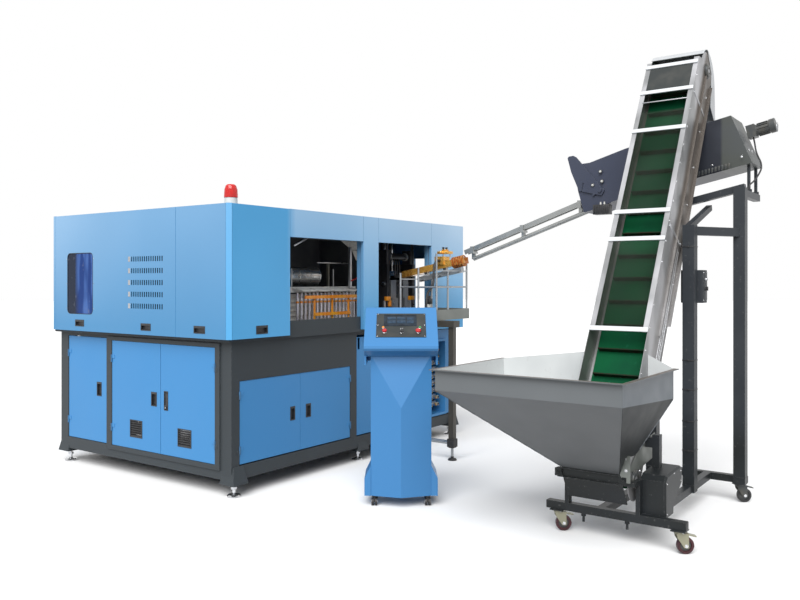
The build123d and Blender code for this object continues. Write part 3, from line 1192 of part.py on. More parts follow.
def infeed_stand():
    """Stand of the infeed: screw foot, post, tray with low walls, uprights and the chute's carrier."""
    stand = block(TRAY_X, TRAY_Y, (TRAY_Z, TRAY_Z + 4))
    wall_z = (TRAY_Z, TRAY_Z + TRAY_WALL)
    stand += block((TRAY_X[0], TRAY_X[0] + 3), TRAY_Y, wall_z)
    stand += block((TRAY_X[1] - 3, TRAY_X[1]), TRAY_Y, wall_z)
    stand += block(TRAY_X, (TRAY_Y[0], TRAY_Y[0] + 3), wall_z)
    left, right = TRAY_X[0] + 25, TRAY_X[1] - 25
    front, middle, back = TRAY_Y[0] + 14, -290.0, TRAY_Y[1] - 14
    tops = {(left, front): 1838.0, (left, middle): 1712.0, (left, back): 1665.0, (right, front): 1790.0,
            (right, back): 1665.0, (left + 190, front): 1700.0}
    for (x, y), top in tops.items():
        stand += rod((x, y, TRAY_Z), (x, y, top), 9)
    for start, end in (((left, front), (left, back)), ((left, front), (right, front)), ((right, front), (right, back))):
        stand += rod((*start, 1535), (*end, 1535), 8)
    for y, x_low in ((front, left), (back, left)):
        rest_z = chute_z(y) - 84
        stand += block((x_low, right), (y - 8, y + 8), (rest_z - 10, rest_z))
    stand += block((left, RAIL_X), (middle - 8, middle + 8), (chute_z(middle) - 94, chute_z(middle) - 84))
    carrier_start = (RAIL_X, front - 30, chute_z(front - 30) - 82)
    carrier_end = (RAIL_X, back + 60, chute_z(back + 60) - 82)
    stand += beam(carrier_start, carrier_end, 50, 48)
    for y in (-330.0, -120.0):
        stand += beam((RAIL_X, y - 15, chute_z(y - 15) - 46), (RAIL_X, y + 15, chute_z(y + 15) - 46), 40, 30)
    x, y = STAND_POST
    stand += block((x - 25, x + 25), (y - 25, y + 25), (110, TRAY_Z - 56))
    stand += block((x - 40, x + 60), (y - 40, TRAY_Y[0] + 70), (TRAY_Z - 56, TRAY_Z))
    stand += rod((x, y, 30), (x, y, 112), 12)
    shoe = [(0, 0), (40, 0), (40, 8), (30, 16), (14, 22), (14, 34), (0, 34)]
    stand += Pos(x, y, 0) * revolve(Plane.XZ * outline_face(shoe), Axis.Z)
    stand += block((x - 34, x + 34), (y - 34, y + 34), (118, 190))
    stand += rod((x, y, 154), (x, -2, 154), 18)
    return stand


def cord_tube(points, radius, name):
    """Cord as a tube along straight runs joined by the largest arcs that fit."""
    radii = []
    for index in range(1, len(points) - 1):
        before = Vector(*points[index]) - Vector(*points[index - 1])
        after = Vector(*points[index + 1]) - Vector(*points[index])
        half_turn = radians(before.get_angle(after)) / 2
        radii.append(0.45 * min(before.length, after.length) / tan(half_turn))
    path = FilletPolyline(*points, radius=radii)
    start = Plane(origin=path @ 0, z_dir=path % 0)
    tube = sweep(start * Circle(radius), path=path)
    expected = pi * radius ** 2 * path.length
    print(name, "arc radii", [round(value) for value in radii], "length", round(path.length),
          "volume share", round(tube.volume / expected, 4))
    return tube


MOTOR_CABLE_RADIUS = 6.0
MOTOR_CABLE = [
    (2425.0, -3058.4, 2671.6), (2425.0, -3067.9, 2627.6), (2418.0, -3074.0, 2580.0), (2400.0, -3094.0, 2526.0),
    (2376.0, -3122.0, 2476.0), (2350.0, -3130.0, 2424.0), (2326.0, -3112.0, 2376.0), (2300.0, -3088.0, 2330.0),
    (2268.0, -3054.0, 2296.0), (2268.0, -3054.0, 2252.0),
]
INFEED_HOSE_RADIUS = 11.0
INFEED_HOSE = [
    (2345.0, -300.0, 1784.0), (2294.0, -300.0, 1784.0), (2250.0, -304.0, 1754.0), (2228.0, -309.0, 1706.0),
    (2219.0, -312.0, 1650.0), (2214.0, -317.0, 1594.0), (2192.0, -321.0, 1544.0), (2146.0, -325.0, 1514.0),
    (2098.0, -329.0, 1486.0), (2070.0, -333.0, 1442.0), (2060.0, -335.0, 1388.0), (2058.0, -333.0, 1334.0),
    (2066.0, -324.0, 1288.0), (2066.0, -324.0, 1240.0),
]


def motor_cable():
    """Cable from the motor's terminal face down to the frame's beam."""
    return cord_tube(MOTOR_CABLE, MOTOR_CABLE_RADIUS, "motor cable")


def infeed_hose():
    """Black air hose from the gate block down into the tray."""
    return cord_tube(INFEED_HOSE, INFEED_HOSE_RADIUS, "infeed hose")


def build_pieces():
    """All pieces by node name, still measured from the near bottom corner."""
    pieces = {
        "base_frame": base_frame(),
        "levelling_feet": levelling_feet(),
        "lower_panels": lower_panels(),
        "valve_manifold": valve_manifold(),
        "cabinet_front": cabinet_front(),
        "cabinet_rear": cabinet_rear(),
        "beacon_base": beacon_base(),
        "beacon_lens": beacon_lens(),
        "oven_wall": oven_wall(),
        "air_duct": air_duct(),
        "lamp_reflectors": lamp_reflectors(),
        "oven_rails": oven_rails(),
        "mandrel_row": mandrel_row(),
        "clamp_frame": clamp_frame(),
        "left_platen": platen(-1),
        "right_platen": platen(1),
        "blow_head": blow_head(),
        "near_end_door": end_face(near_door()),
        "near_door_lever": near_door_lever(),
        "large_end_guard": large_end_guard(),
        "guard_window": guard_window(),
        "small_end_guard": small_end_guard(),
        "front_guard": front_guard(),
        "console_housing": console_housing(),
        "control_plate": control_plate(),
        "touch_screen": touch_screen(),
        "stop_button": mushroom(-118, 17),
        "emergency_button": mushroom(122, 20),
        "mode_selector": mode_selector(),
        "console_castors": console_castors(),
        "elevator_frame": elevator_frame(),
        "hopper": hopper(),
        "conveyor_trough": conveyor_trough(),
        "cover_bars": cover_bars(),
        "conveyor_covers": conveyor_covers(),
        "conveyor_belt": conveyor_belt(),
        "head_roller": belt_roller(HEAD_STATION),
        "tail_roller": belt_roller(TAIL_STATION),
        "discharge_hood": discharge_hood(),
        "unscrambler_trough": unscrambler_trough(),
        "near_sorting_roller": unscrambler_roller(ROLLER_LINES[0]),
        "far_sorting_roller": unscrambler_roller(ROLLER_LINES[1]),
        "unscrambler_motor": unscrambler_motor(),
        "feed_rail": feed_rail(),
        "feed_chute": feed_chute(),
        "infeed_stand": infeed_stand(),
        "infeed_hose": infeed_hose(),
        "motor_cable": motor_cable(),
    }
    for name in ("far_end_door", "middle_end_door", "front_left_door", "front_right_door"):
        pieces[name] = door_side(door_leaf(DOORS[name]), DOORS[name])
    for name, pin in CASTOR_PINS.items():
        pieces["castor_fork_" + name] = castor_fork(pin)
        pieces["castor_wheel_" + name] = castor_wheel(pin)
    return pieces


def as_solids(piece):
    """The separate solids of a piece or of a list of pieces."""
    if isinstance(piece, (list, tuple)):
        return [solid for member in piece for solid in member.solids()]
    return list(piece.solids())


pieces = {name: Compound(children=as_solids(piece)) for name, piece in build_pieces().items()}
boxes = [piece.bounding_box() for piece in pieces.values()]
low = [min(box.min.X for box in boxes), min(box.min.Y for box in boxes), min(box.min.Z for box in boxes)]
high = [max(box.max.X for box in boxes), max(box.max.Y for box in boxes)]
SHIFT = (-(low[0] + high[0]) / 2, -(low[1] + high[1]) / 2, -low[2])
print("shift to the standing centre", [round(value, 3) for value in SHIFT])
for name, piece in pieces.items():
    moved = [Pos(*SHIFT) * solid for solid in piece.solids()]
    shape = moved[0] if len(moved) == 1 else Compound(children=moved)
    export_step(shape, f"parts/{name}.step")
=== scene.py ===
from itertools import product
from math import cos, pi, radians, sin, tan

import bmesh
import bpy
from mathutils import Matrix, Vector


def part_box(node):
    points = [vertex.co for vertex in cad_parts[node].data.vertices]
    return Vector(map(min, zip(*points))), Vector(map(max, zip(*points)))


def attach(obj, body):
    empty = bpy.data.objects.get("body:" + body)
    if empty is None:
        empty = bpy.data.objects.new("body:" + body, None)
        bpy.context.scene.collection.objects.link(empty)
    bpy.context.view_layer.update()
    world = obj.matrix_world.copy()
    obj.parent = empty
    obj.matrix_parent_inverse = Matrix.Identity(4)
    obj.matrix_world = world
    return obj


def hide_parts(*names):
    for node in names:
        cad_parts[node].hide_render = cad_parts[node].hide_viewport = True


bl_info = {
    "name": "Bottle blowing line",
    "version": (1, 0, 0),
    "blender": (4, 5, 0),
    "location": "3D View > Sidebar > Blowing line",
    "description": "Finishes and fine pieces of a bottle blowing machine with its preform elevator",
    "category": "Object",
}

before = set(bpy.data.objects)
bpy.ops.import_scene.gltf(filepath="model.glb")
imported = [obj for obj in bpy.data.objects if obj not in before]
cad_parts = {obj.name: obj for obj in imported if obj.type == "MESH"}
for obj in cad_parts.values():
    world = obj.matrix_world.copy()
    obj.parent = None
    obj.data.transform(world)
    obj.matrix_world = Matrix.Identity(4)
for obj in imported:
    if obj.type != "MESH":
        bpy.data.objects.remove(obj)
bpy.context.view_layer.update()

# Pieces are laid out in millimetres from the near bottom corner of the machine's lower
# frame: x runs along the long front face, y along the end face, z is up.
CABINET_CORNER = Vector((3.165, 2.2, 0.0))
cabinet_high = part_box("cabinet_rear")[1]
CORNER = Vector((cabinet_high.x - CABINET_CORNER.x, cabinet_high.y - CABINET_CORNER.y, 0.0))
LAYOUT = Matrix.Translation(CORNER) @ Matrix.Scale(0.001, 4)

# Routes of the two cords, the same points as their solids have
INFEED_HOSE = [
    (2345, -300, 1784), (2294, -300, 1784), (2250, -304, 1754), (2228, -309, 1706), (2219, -312, 1650),
    (2214, -317, 1594), (2192, -321, 1544), (2146, -325, 1514), (2098, -329, 1486), (2070, -333, 1442),
    (2060, -335, 1388), (2058, -333, 1334), (2066, -324, 1288), (2066, -324, 1240),
]
MOTOR_CABLE = [
    (2425, -3058.4, 2671.6), (2425, -3067.9, 2627.6), (2418, -3074, 2580), (2400, -3094, 2526),
    (2376, -3122, 2476), (2350, -3130, 2424), (2326, -3112, 2376), (2300, -3088, 2330),
    (2268, -3054, 2296), (2268, -3054, 2252),
]

# The photograph's camera: it stands level, left of the near corner
CAMERA_PLACE = (-4076, -4429, 1600)
CAMERA_FORWARD = Vector((0.8134, 0.5817, 0))
LENS_MM = 36.306
HORIZON_SHIFT = -0.025

# The conveyor's slope: s runs up along its front edge, t is the depth behind it
SLOPE = radians(60)
FRONT_LINE = (980.0, 1283.0)
CONVEYOR_Y = (-2740.0, -2350.0)
ROLLER_DEPTH = 214.0
BELT_FACE = 150.0
TAIL_STATION, HEAD_STATION = -900.0, 2340.0
BAR_STATIONS = [(z - FRONT_LINE[1]) / sin(SLOPE) for z in (1283.0, 1879.0, 2075.0, 2697.0, 3012.0, 3232.0)]

# The console faces this way round and stands here
CONSOLE_CENTRE = (665.0, -1048.0)
CONSOLE_TURN = radians(-54.43)
PANEL_SLOPE = 0.6029
PANEL_MIDDLE = Vector((0, -27.0, 1395 - 177 * tan(PANEL_SLOPE)))

# The elevator's cross bars and the pins of its castors
FRONT_BAR_X = 715.0
REAR_BAR_X = 2085.0
CASTOR_PINS = {
    "front_left": (FRONT_BAR_X, -2250.0),
    "front_right": (FRONT_BAR_X, -3014.0),
    "rear_left": (REAR_BAR_X, -2420.0),
    "rear_right": (REAR_BAR_X, -3035.0),
}

# Planes that many fine pieces sit on
GUARD_FACE = -80
ROOF_TOP = 2158
SWITCH_BOX_FACE = -2893.5
TROUGH_FACE = 2220

ORIGIN = (0, 0, 0)
UP = (0, 0, 1)
DOWN = (0, 0, -1)
NORTH = (0, 1, 0)
SOUTH = (0, -1, 0)
EAST = (1, 0, 0)
WEST = (-1, 0, 0)


def at(x, y, z):
    """Point of the shared frame, in metres, for a place given in layout millimetres."""
    return LAYOUT @ Vector((x, y, z))


def slope(s, t, y):
    """Layout point on the conveyor, from its station, depth and side."""
    x = FRONT_LINE[0] + s * cos(SLOPE) + t * sin(SLOPE)
    return Vector((x, y, FRONT_LINE[1] + s * sin(SLOPE) - t * cos(SLOPE)))


def console_matrix():
    """Places a piece that was laid out about the console's centre, facing -y."""
    return Matrix.Translation((*CONSOLE_CENTRE, 0)) @ Matrix.Rotation(CONSOLE_TURN, 4, "Z")


def desk_matrix(along, across, out):
    """Frame on the console's sloping control face: x across, y up the slope, z out."""
    up = Vector((0, cos(PANEL_SLOPE), sin(PANEL_SLOPE)))
    normal = Vector((0, -sin(PANEL_SLOPE), cos(PANEL_SLOPE)))
    origin = PANEL_MIDDLE + Vector((across, 0, 0)) + up * along + normal * out
    turned = Matrix((Vector(EAST), up, normal)).transposed().to_4x4()
    return console_matrix() @ Matrix.Translation(origin) @ turned


def darker(colour, share):
    return tuple(share * value for value in colour)


class Finish:
    """A paint, metal or plastic whose colour, gloss and relief vary over the surface."""

    def __init__(self, name, colour, roughness, metallic=0.0, specular=0.5, coat=0.0, edge=0.0015):
        self.material = bpy.data.materials.new(name)
        self.material.use_nodes = True
        self.tree = self.material.node_tree
        self.shader = self.tree.nodes["Principled BSDF"]
        self.shade = (*colour, 1)
        self.fixed({"Base Color": self.shade, "Roughness": roughness, "Metallic": metallic,
                    "Specular IOR Level": specular, "Coat Weight": coat})
        self.coordinates = self.add("ShaderNodeTexCoord").outputs["Object"]
        self.normal = None
        if edge:
            self.normal = self.rounded(edge)
            self.link(self.normal, self.shader.inputs["Normal"])

    def fixed(self, values):
        """Inputs of the shader that are the same all over."""
        for name, value in values.items():
            self.shader.inputs[name].default_value = value
        return self

    def add(self, kind, **values):
        node = self.tree.nodes.new(kind)
        for key, value in values.items():
            setattr(node, key, value)
        return node

    def link(self, source, target):
        if hasattr(source, "links"):
            self.tree.links.new(source, target)
        else:
            target.default_value = source

    def rounded(self, radius):
        """Normal that looks as if edges were rounded."""
        bevel = self.add("ShaderNodeBevel", samples=2)
        bevel.inputs["Radius"].default_value = radius
        return bevel.outputs[0]

    def maths(self, operation, first, second=0.0):
        node = self.add("ShaderNodeMath", operation=operation)
        self.link(first, node.inputs[0])
        self.link(second, node.inputs[1])
        return node.outputs[0]

    def dot(self, first, second):
        node = self.add("ShaderNodeVectorMath", operation="DOT_PRODUCT")
        self.link(first, node.inputs[0])
        self.link(second, node.inputs[1])
        return node.outputs["Value"]

    def ramp(self, value, low, high, start=0.0, end=1.0):
        """Value brought from low..high to start..end, held at the ends."""
        node = self.add("ShaderNodeMapRange")
        for index, number in enumerate((value, low, high, start, end)):
            self.link(number, node.inputs[index])
        return node.outputs[0]

    def noise(self, size, detail=2.0, stretch=(1, 1, 1)):
        """Clouds from 0 to 1, about size metres across."""
        mapping = self.add("ShaderNodeMapping")
        self.link(self.coordinates, mapping.inputs["Vector"])
        mapping.inputs["Scale"].default_value = stretch
        node = self.add("ShaderNodeTexNoise")
        self.link(mapping.outputs[0], node.inputs["Vector"])
        node.inputs["Scale"].default_value = 1 / size
        node.inputs["Detail"].default_value = detail
        return node.outputs["Fac"]

    def split(self, vector, axis):
        node = self.add("ShaderNodeSeparateXYZ")
        self.link(vector, node.inputs[0])
        return node.outputs[axis]

    def along(self, axis):
        """Place along one axis of the frame, in metres."""
        return self.split(self.coordinates, axis)

    def facing(self, axis):
        """How far the surface faces along one axis, from -1 to 1."""
        return self.split(self.add("ShaderNodeTexCoord").outputs["Normal"], axis)

    def tint(self, share, colour):
        """Lays another colour over the one so far, by a share from 0 to 1."""
        mix = self.add("ShaderNodeMix", data_type="RGBA")
        self.link(share, mix.inputs[0])
        self.link(self.shade, mix.inputs[6])
        mix.inputs[7].default_value = (*colour, 1)
        self.shade = mix.outputs[2]
        self.link(self.shade, self.shader.inputs["Base Color"])
        return self

    def cloud(self, size, colour, low=0.4, high=0.7, most=0.8, detail=2.0, stretch=(1, 1, 1)):
        """Patches of another colour."""
        return self.tint(self.ramp(self.noise(size, detail, stretch), low, high, 0.0, most), colour)

    def gloss(self, size, low, high):
        """Roughness that wanders between two values."""
        self.link(self.ramp(self.noise(size), 0.3, 0.7, low, high), self.shader.inputs["Roughness"])
        return self

    def relief(self, height, depth, strength):
        """Bumps or grooves of this depth in metres."""
        bump = self.add("ShaderNodeBump")
        bump.inputs["Strength"].default_value = strength
        bump.inputs["Distance"].default_value = depth
        self.link(height, bump.inputs["Height"])
        if self.normal:
            self.link(self.normal, bump.inputs["Normal"])
        self.normal = bump.outputs[0]
        self.link(self.normal, self.shader.inputs["Normal"])
        return self

    def grain(self, size, depth, strength, detail=2.0, stretch=(1, 1, 1)):
        """Relief of fine noise."""
        return self.relief(self.noise(size, detail, stretch), depth, strength)

    def worn(self, radius, colour, most):
        """Edges lighter in another colour: rubbed wear, with a painted highlight along them."""
        turned = self.dot(self.rounded(radius), self.add("ShaderNodeNewGeometry").outputs["Normal"])
        patchy = self.ramp(self.noise(0.012), 0.42, 0.62)
        edge = self.ramp(turned, 0.97, 0.85, 0.0, most)
        # Wear and painted highlight: lighter on the rounded edges, in patches.
        return self.tint(self.maths("MULTIPLY", edge, patchy), colour)


def colours():
    return bpy.context.scene.line_colours


def sheet_paint(name, colour, top=None):
    """Glossy powder coat on sheet metal. Given top, light is painted on: faces turned to -y get a lit copy
    of the paint, and top is a painted highlight laid over the upper part, stronger on the front further
    along x and on the end faces further along y.
    """
    paint = Finish(name, colour, 0.36, specular=0.28)
    if top:
        # Painted highlight: its share grows from 1.22 m up to 2.12 m.
        highlight_rise = paint.ramp(paint.along(2), 1.22, 2.12)
        # Painted light: faces turned to -y get the lit copy of the paint.
        lit_front_face = paint.ramp(paint.facing(1), -0.3, -0.8)
        paint.tint(lit_front_face, colours().cabinet_front[:])
        # Painted highlight on the end faces, turned to -x, growing along y.
        end = paint.ramp(paint.facing(0), -0.9, -0.2, 0.34, 0.0)
        corner = paint.ramp(paint.along(1), CORNER.y + 0.9, CORNER.y + 2.1, 0.6, 1.35)
        end = paint.maths("MULTIPLY", end, corner)
        # Painted highlight on the front faces, growing along x.
        far = paint.ramp(paint.along(0), CORNER.x + 0.52, CORNER.x + 0.62, 0.0, 0.62)
        further = paint.ramp(paint.along(0), CORNER.x + 1.2, CORNER.x + 3.1, 0.0, 0.38)
        front = paint.maths("MULTIPLY", paint.maths("ADD", far, further), lit_front_face)
        front = paint.maths("ADD", front, end)
        paint.tint(paint.maths("MULTIPLY", highlight_rise, front), top)
    paint.cloud(1.1, darker(colour, 0.86), 0.35, 0.75, 0.25, 1.0)
    return paint.gloss(0.4, 0.32, 0.42).grain(0.0035, 0.0002, 0.25, 1.0)


def frame_paint():
    """Textured dark coat of the welded frame, its edges lighter: rubbed wear, with a painted highlight along
    them.
    """
    paint = Finish("frame paint", colours().frame_grey[:], 0.5, specular=0.25)
    paint.cloud(0.5, (0.04, 0.046, 0.05), 0.4, 0.75, 0.5)
    # Lighter edges: wear, with a painted highlight along them.
    return paint.worn(0.003, (0.3, 0.33, 0.35), 0.5).grain(0.0016, 0.0003, 0.35)


def elevator_paint():
    """Dark satin coat on bars and columns, darker towards the bottom, its edges lighter: scuffs, with a
    painted highlight along them.
    """
    paint = Finish("elevator paint", colours().elevator_grey[:], 0.42, specular=0.25)
    # Darker towards the bottom, from 0.7 m down to 0.4 m.
    paint.tint(paint.ramp(paint.along(2), 0.7, 0.4), (0.014, 0.016, 0.016))
    paint.cloud(0.35, (0.02, 0.024, 0.03), most=0.6)
    paint.cloud(0.02, (0.14, 0.14, 0.14), 0.66, 0.72, 0.35, 3.0)
    # Lighter edges: wear, with a painted highlight along them.
    return paint.worn(0.003, (0.28, 0.28, 0.28), 0.6).grain(0.002, 0.0003, 0.3)


def trough_paint():
    """Blue-grey coat of the unscrambler's trough, with the hood's shadow painted on as a darker tone towards
    -y, and an olive-grey tone over its end towards -y.
    """
    paint = Finish("trough paint", colours().trough_grey[:], 0.42, specular=0.3)
    # Painted shadow of the hood: darker from 2.5 m to 2.7 m towards -y.
    paint.tint(paint.ramp(paint.along(1), CORNER.y - 2.5, CORNER.y - 2.7), (0.022, 0.025, 0.034))
    # Olive-grey tone over the end towards -y.
    paint.tint(paint.ramp(paint.along(1), CORNER.y - 2.86, CORNER.y - 2.88), (0.07, 0.076, 0.07))
    paint.cloud(0.4, (0.075, 0.083, 0.11), 0.45, 0.8, 0.4)
    # Lighter edges: wear, with a painted highlight along them.
    return paint.worn(0.003, (0.4, 0.42, 0.45), 0.6).grain(0.003, 0.0002, 0.3, 1.0)


def hopper_steel():
    """Outside of the folded hopper: dull rolled sheet with shade painted on by facing: the shade tone where
    it looks down, a darker bluish tone on faces turned to -y, and nearly black with less shine where a face
    does both.
    """
    metal = Finish("hopper outside", colours().hopper_steel[:], 0.42, 0.2, specular=0.3, edge=0.003)
    # Painted shade: faces that look down get the shade tone.
    down = metal.ramp(metal.facing(2), -0.1, -0.45)
    metal.tint(down, colours().hopper_shade[:])
    # Painted shade: faces turned to -y get a darker bluish tone.
    side_shade = metal.ramp(metal.facing(1), -0.2, -0.6)
    metal.tint(metal.maths("MULTIPLY", side_shade, 0.55), (0.075, 0.1, 0.13))
    # Painted shade: faces that look both down and to -y go nearly black and lose their shine.
    shaded = metal.maths("MULTIPLY", down, side_shade)
    metal.tint(shaded, (0.02, 0.022, 0.022))
    metal.link(metal.ramp(shaded, 0.0, 1.0, 0.3, 0.05), metal.shader.inputs["Specular IOR Level"])
    metal.cloud(0.4, (0.2, 0.21, 0.22), 0.5, 0.85, 0.2)
    return metal.gloss(0.2, 0.3, 0.46).grain(0.0015, 0.0002, 0.25, 2.0, (1, 1, 0.08))


def conveyor_steel():
    """Side plates of the conveyor: long soft streaks up the slope."""
    metal = Finish("conveyor steel", (0.27, 0.275, 0.28), 0.36, 0.45)
    across = (sin(SLOPE), 0, -cos(SLOPE))
    front_edge = at(FRONT_LINE[0], 0, FRONT_LINE[1]).dot(Vector(across))
    behind = metal.ramp(metal.dot(metal.coordinates, across), front_edge + 0.11, front_edge + 0.16)
    metal.cloud(0.2, (0.5, 0.5, 0.52), 0.42, 0.62, 0.8, 2.0, (1, 1, 0.2))
    high = metal.ramp(metal.along(2), 0.9, 2.2, 0.25, 1.0)
    metal.tint(metal.maths("MULTIPLY", behind, high), (0.115, 0.1, 0.088))
    return metal.gloss(0.1, 0.28, 0.48).grain(0.0015, 0.0002, 0.25, 2.0, (1, 1, 0.08))


def belt_rubber():
    """Green belt with a fine woven grain and lighter worn patches."""
    rubber = Finish("belt rubber", colours().belt_green[:], 0.65, specular=0.12)
    rubber.cloud(0.25, (0.0, 0.05, 0.022), 0.35)
    rubber.cloud(0.04, (0.012, 0.14, 0.07), 0.62, 0.75, 0.4, 3.0)
    wave = rubber.add("ShaderNodeTexWave")
    wave.inputs["Scale"].default_value = 160.0
    rubber.link(rubber.coordinates, wave.inputs["Vector"])
    return rubber.relief(wave.outputs["Fac"], 0.0003, 0.4)


def window_sheet():
    """Dark pane, blue over all but its end towards +y, with lighter blue streaks painted on that part as
    reflections.
    """
    pane = Finish("window pane", (0.02, 0.028, 0.05), 0.14, specular=0.1, edge=0.0)
    left = pane.ramp(pane.along(1), CORNER.y + 1.85, CORNER.y + 1.79)
    pane.tint(left, (0.012, 0.045, 0.2))
    # Painted reflection: lighter blue streaks over the blue part.
    streaks = pane.ramp(pane.noise(0.12, 1.0, (1, 1.5, 0.3)), 0.45, 0.6)
    pane.tint(pane.maths("MULTIPLY", left, streaks), (0.06, 0.14, 0.4))
    pane.cloud(0.05, (0.2, 0.22, 0.28), 0.66, 0.7, 0.5, 2.0, (1, 1.4, 0.5))
    return pane.fixed({"Alpha": 0.93}).gloss(0.2, 0.07, 0.16)


def brushed(name, colour, roughness=0.34, stretch=(1, 1, 12), metallic=0.75, dark=0.7):
    """Brushed metal: fine streaks and soft smears."""
    metal = Finish(name, colour, roughness, metallic).cloud(0.3, darker(colour, dark), 0.35)
    metal.gloss(0.12, roughness - 0.08, roughness + 0.1)
    return metal.grain(0.02, 0.0002, 0.3, 2.0, stretch)


def chromed_rod():
    metal = Finish("chromed rod", (0.75, 0.76, 0.78), 0.12, 0.95)
    return metal.cloud(0.06, (0.375, 0.38, 0.39), 0.4, 0.65).gloss(0.05, 0.084, 0.216)


def beacon_red():
    """Red lens that lets its lamp show through."""
    lens = Finish("beacon lens", (0.62, 0.012, 0.01), 0.12, specular=0.6)
    return lens.cloud(0.05, (0.4, 0.004, 0.006), most=0.5).fixed(
        {"Transmission Weight": 0.35, "Emission Color": (0.9, 0.02, 0.01, 1), "Emission Strength": 0.12})


def screen_lit():
    """Faintly lit field of the screen."""
    glass = Finish("screen field", (0.02, 0.036, 0.06), 0.25, specular=0.15, edge=0.0)
    return glass.cloud(0.02, (0.04, 0.07, 0.11)).fixed(
        {"Emission Color": (0.12, 0.28, 0.45, 1), "Emission Strength": 0.03})


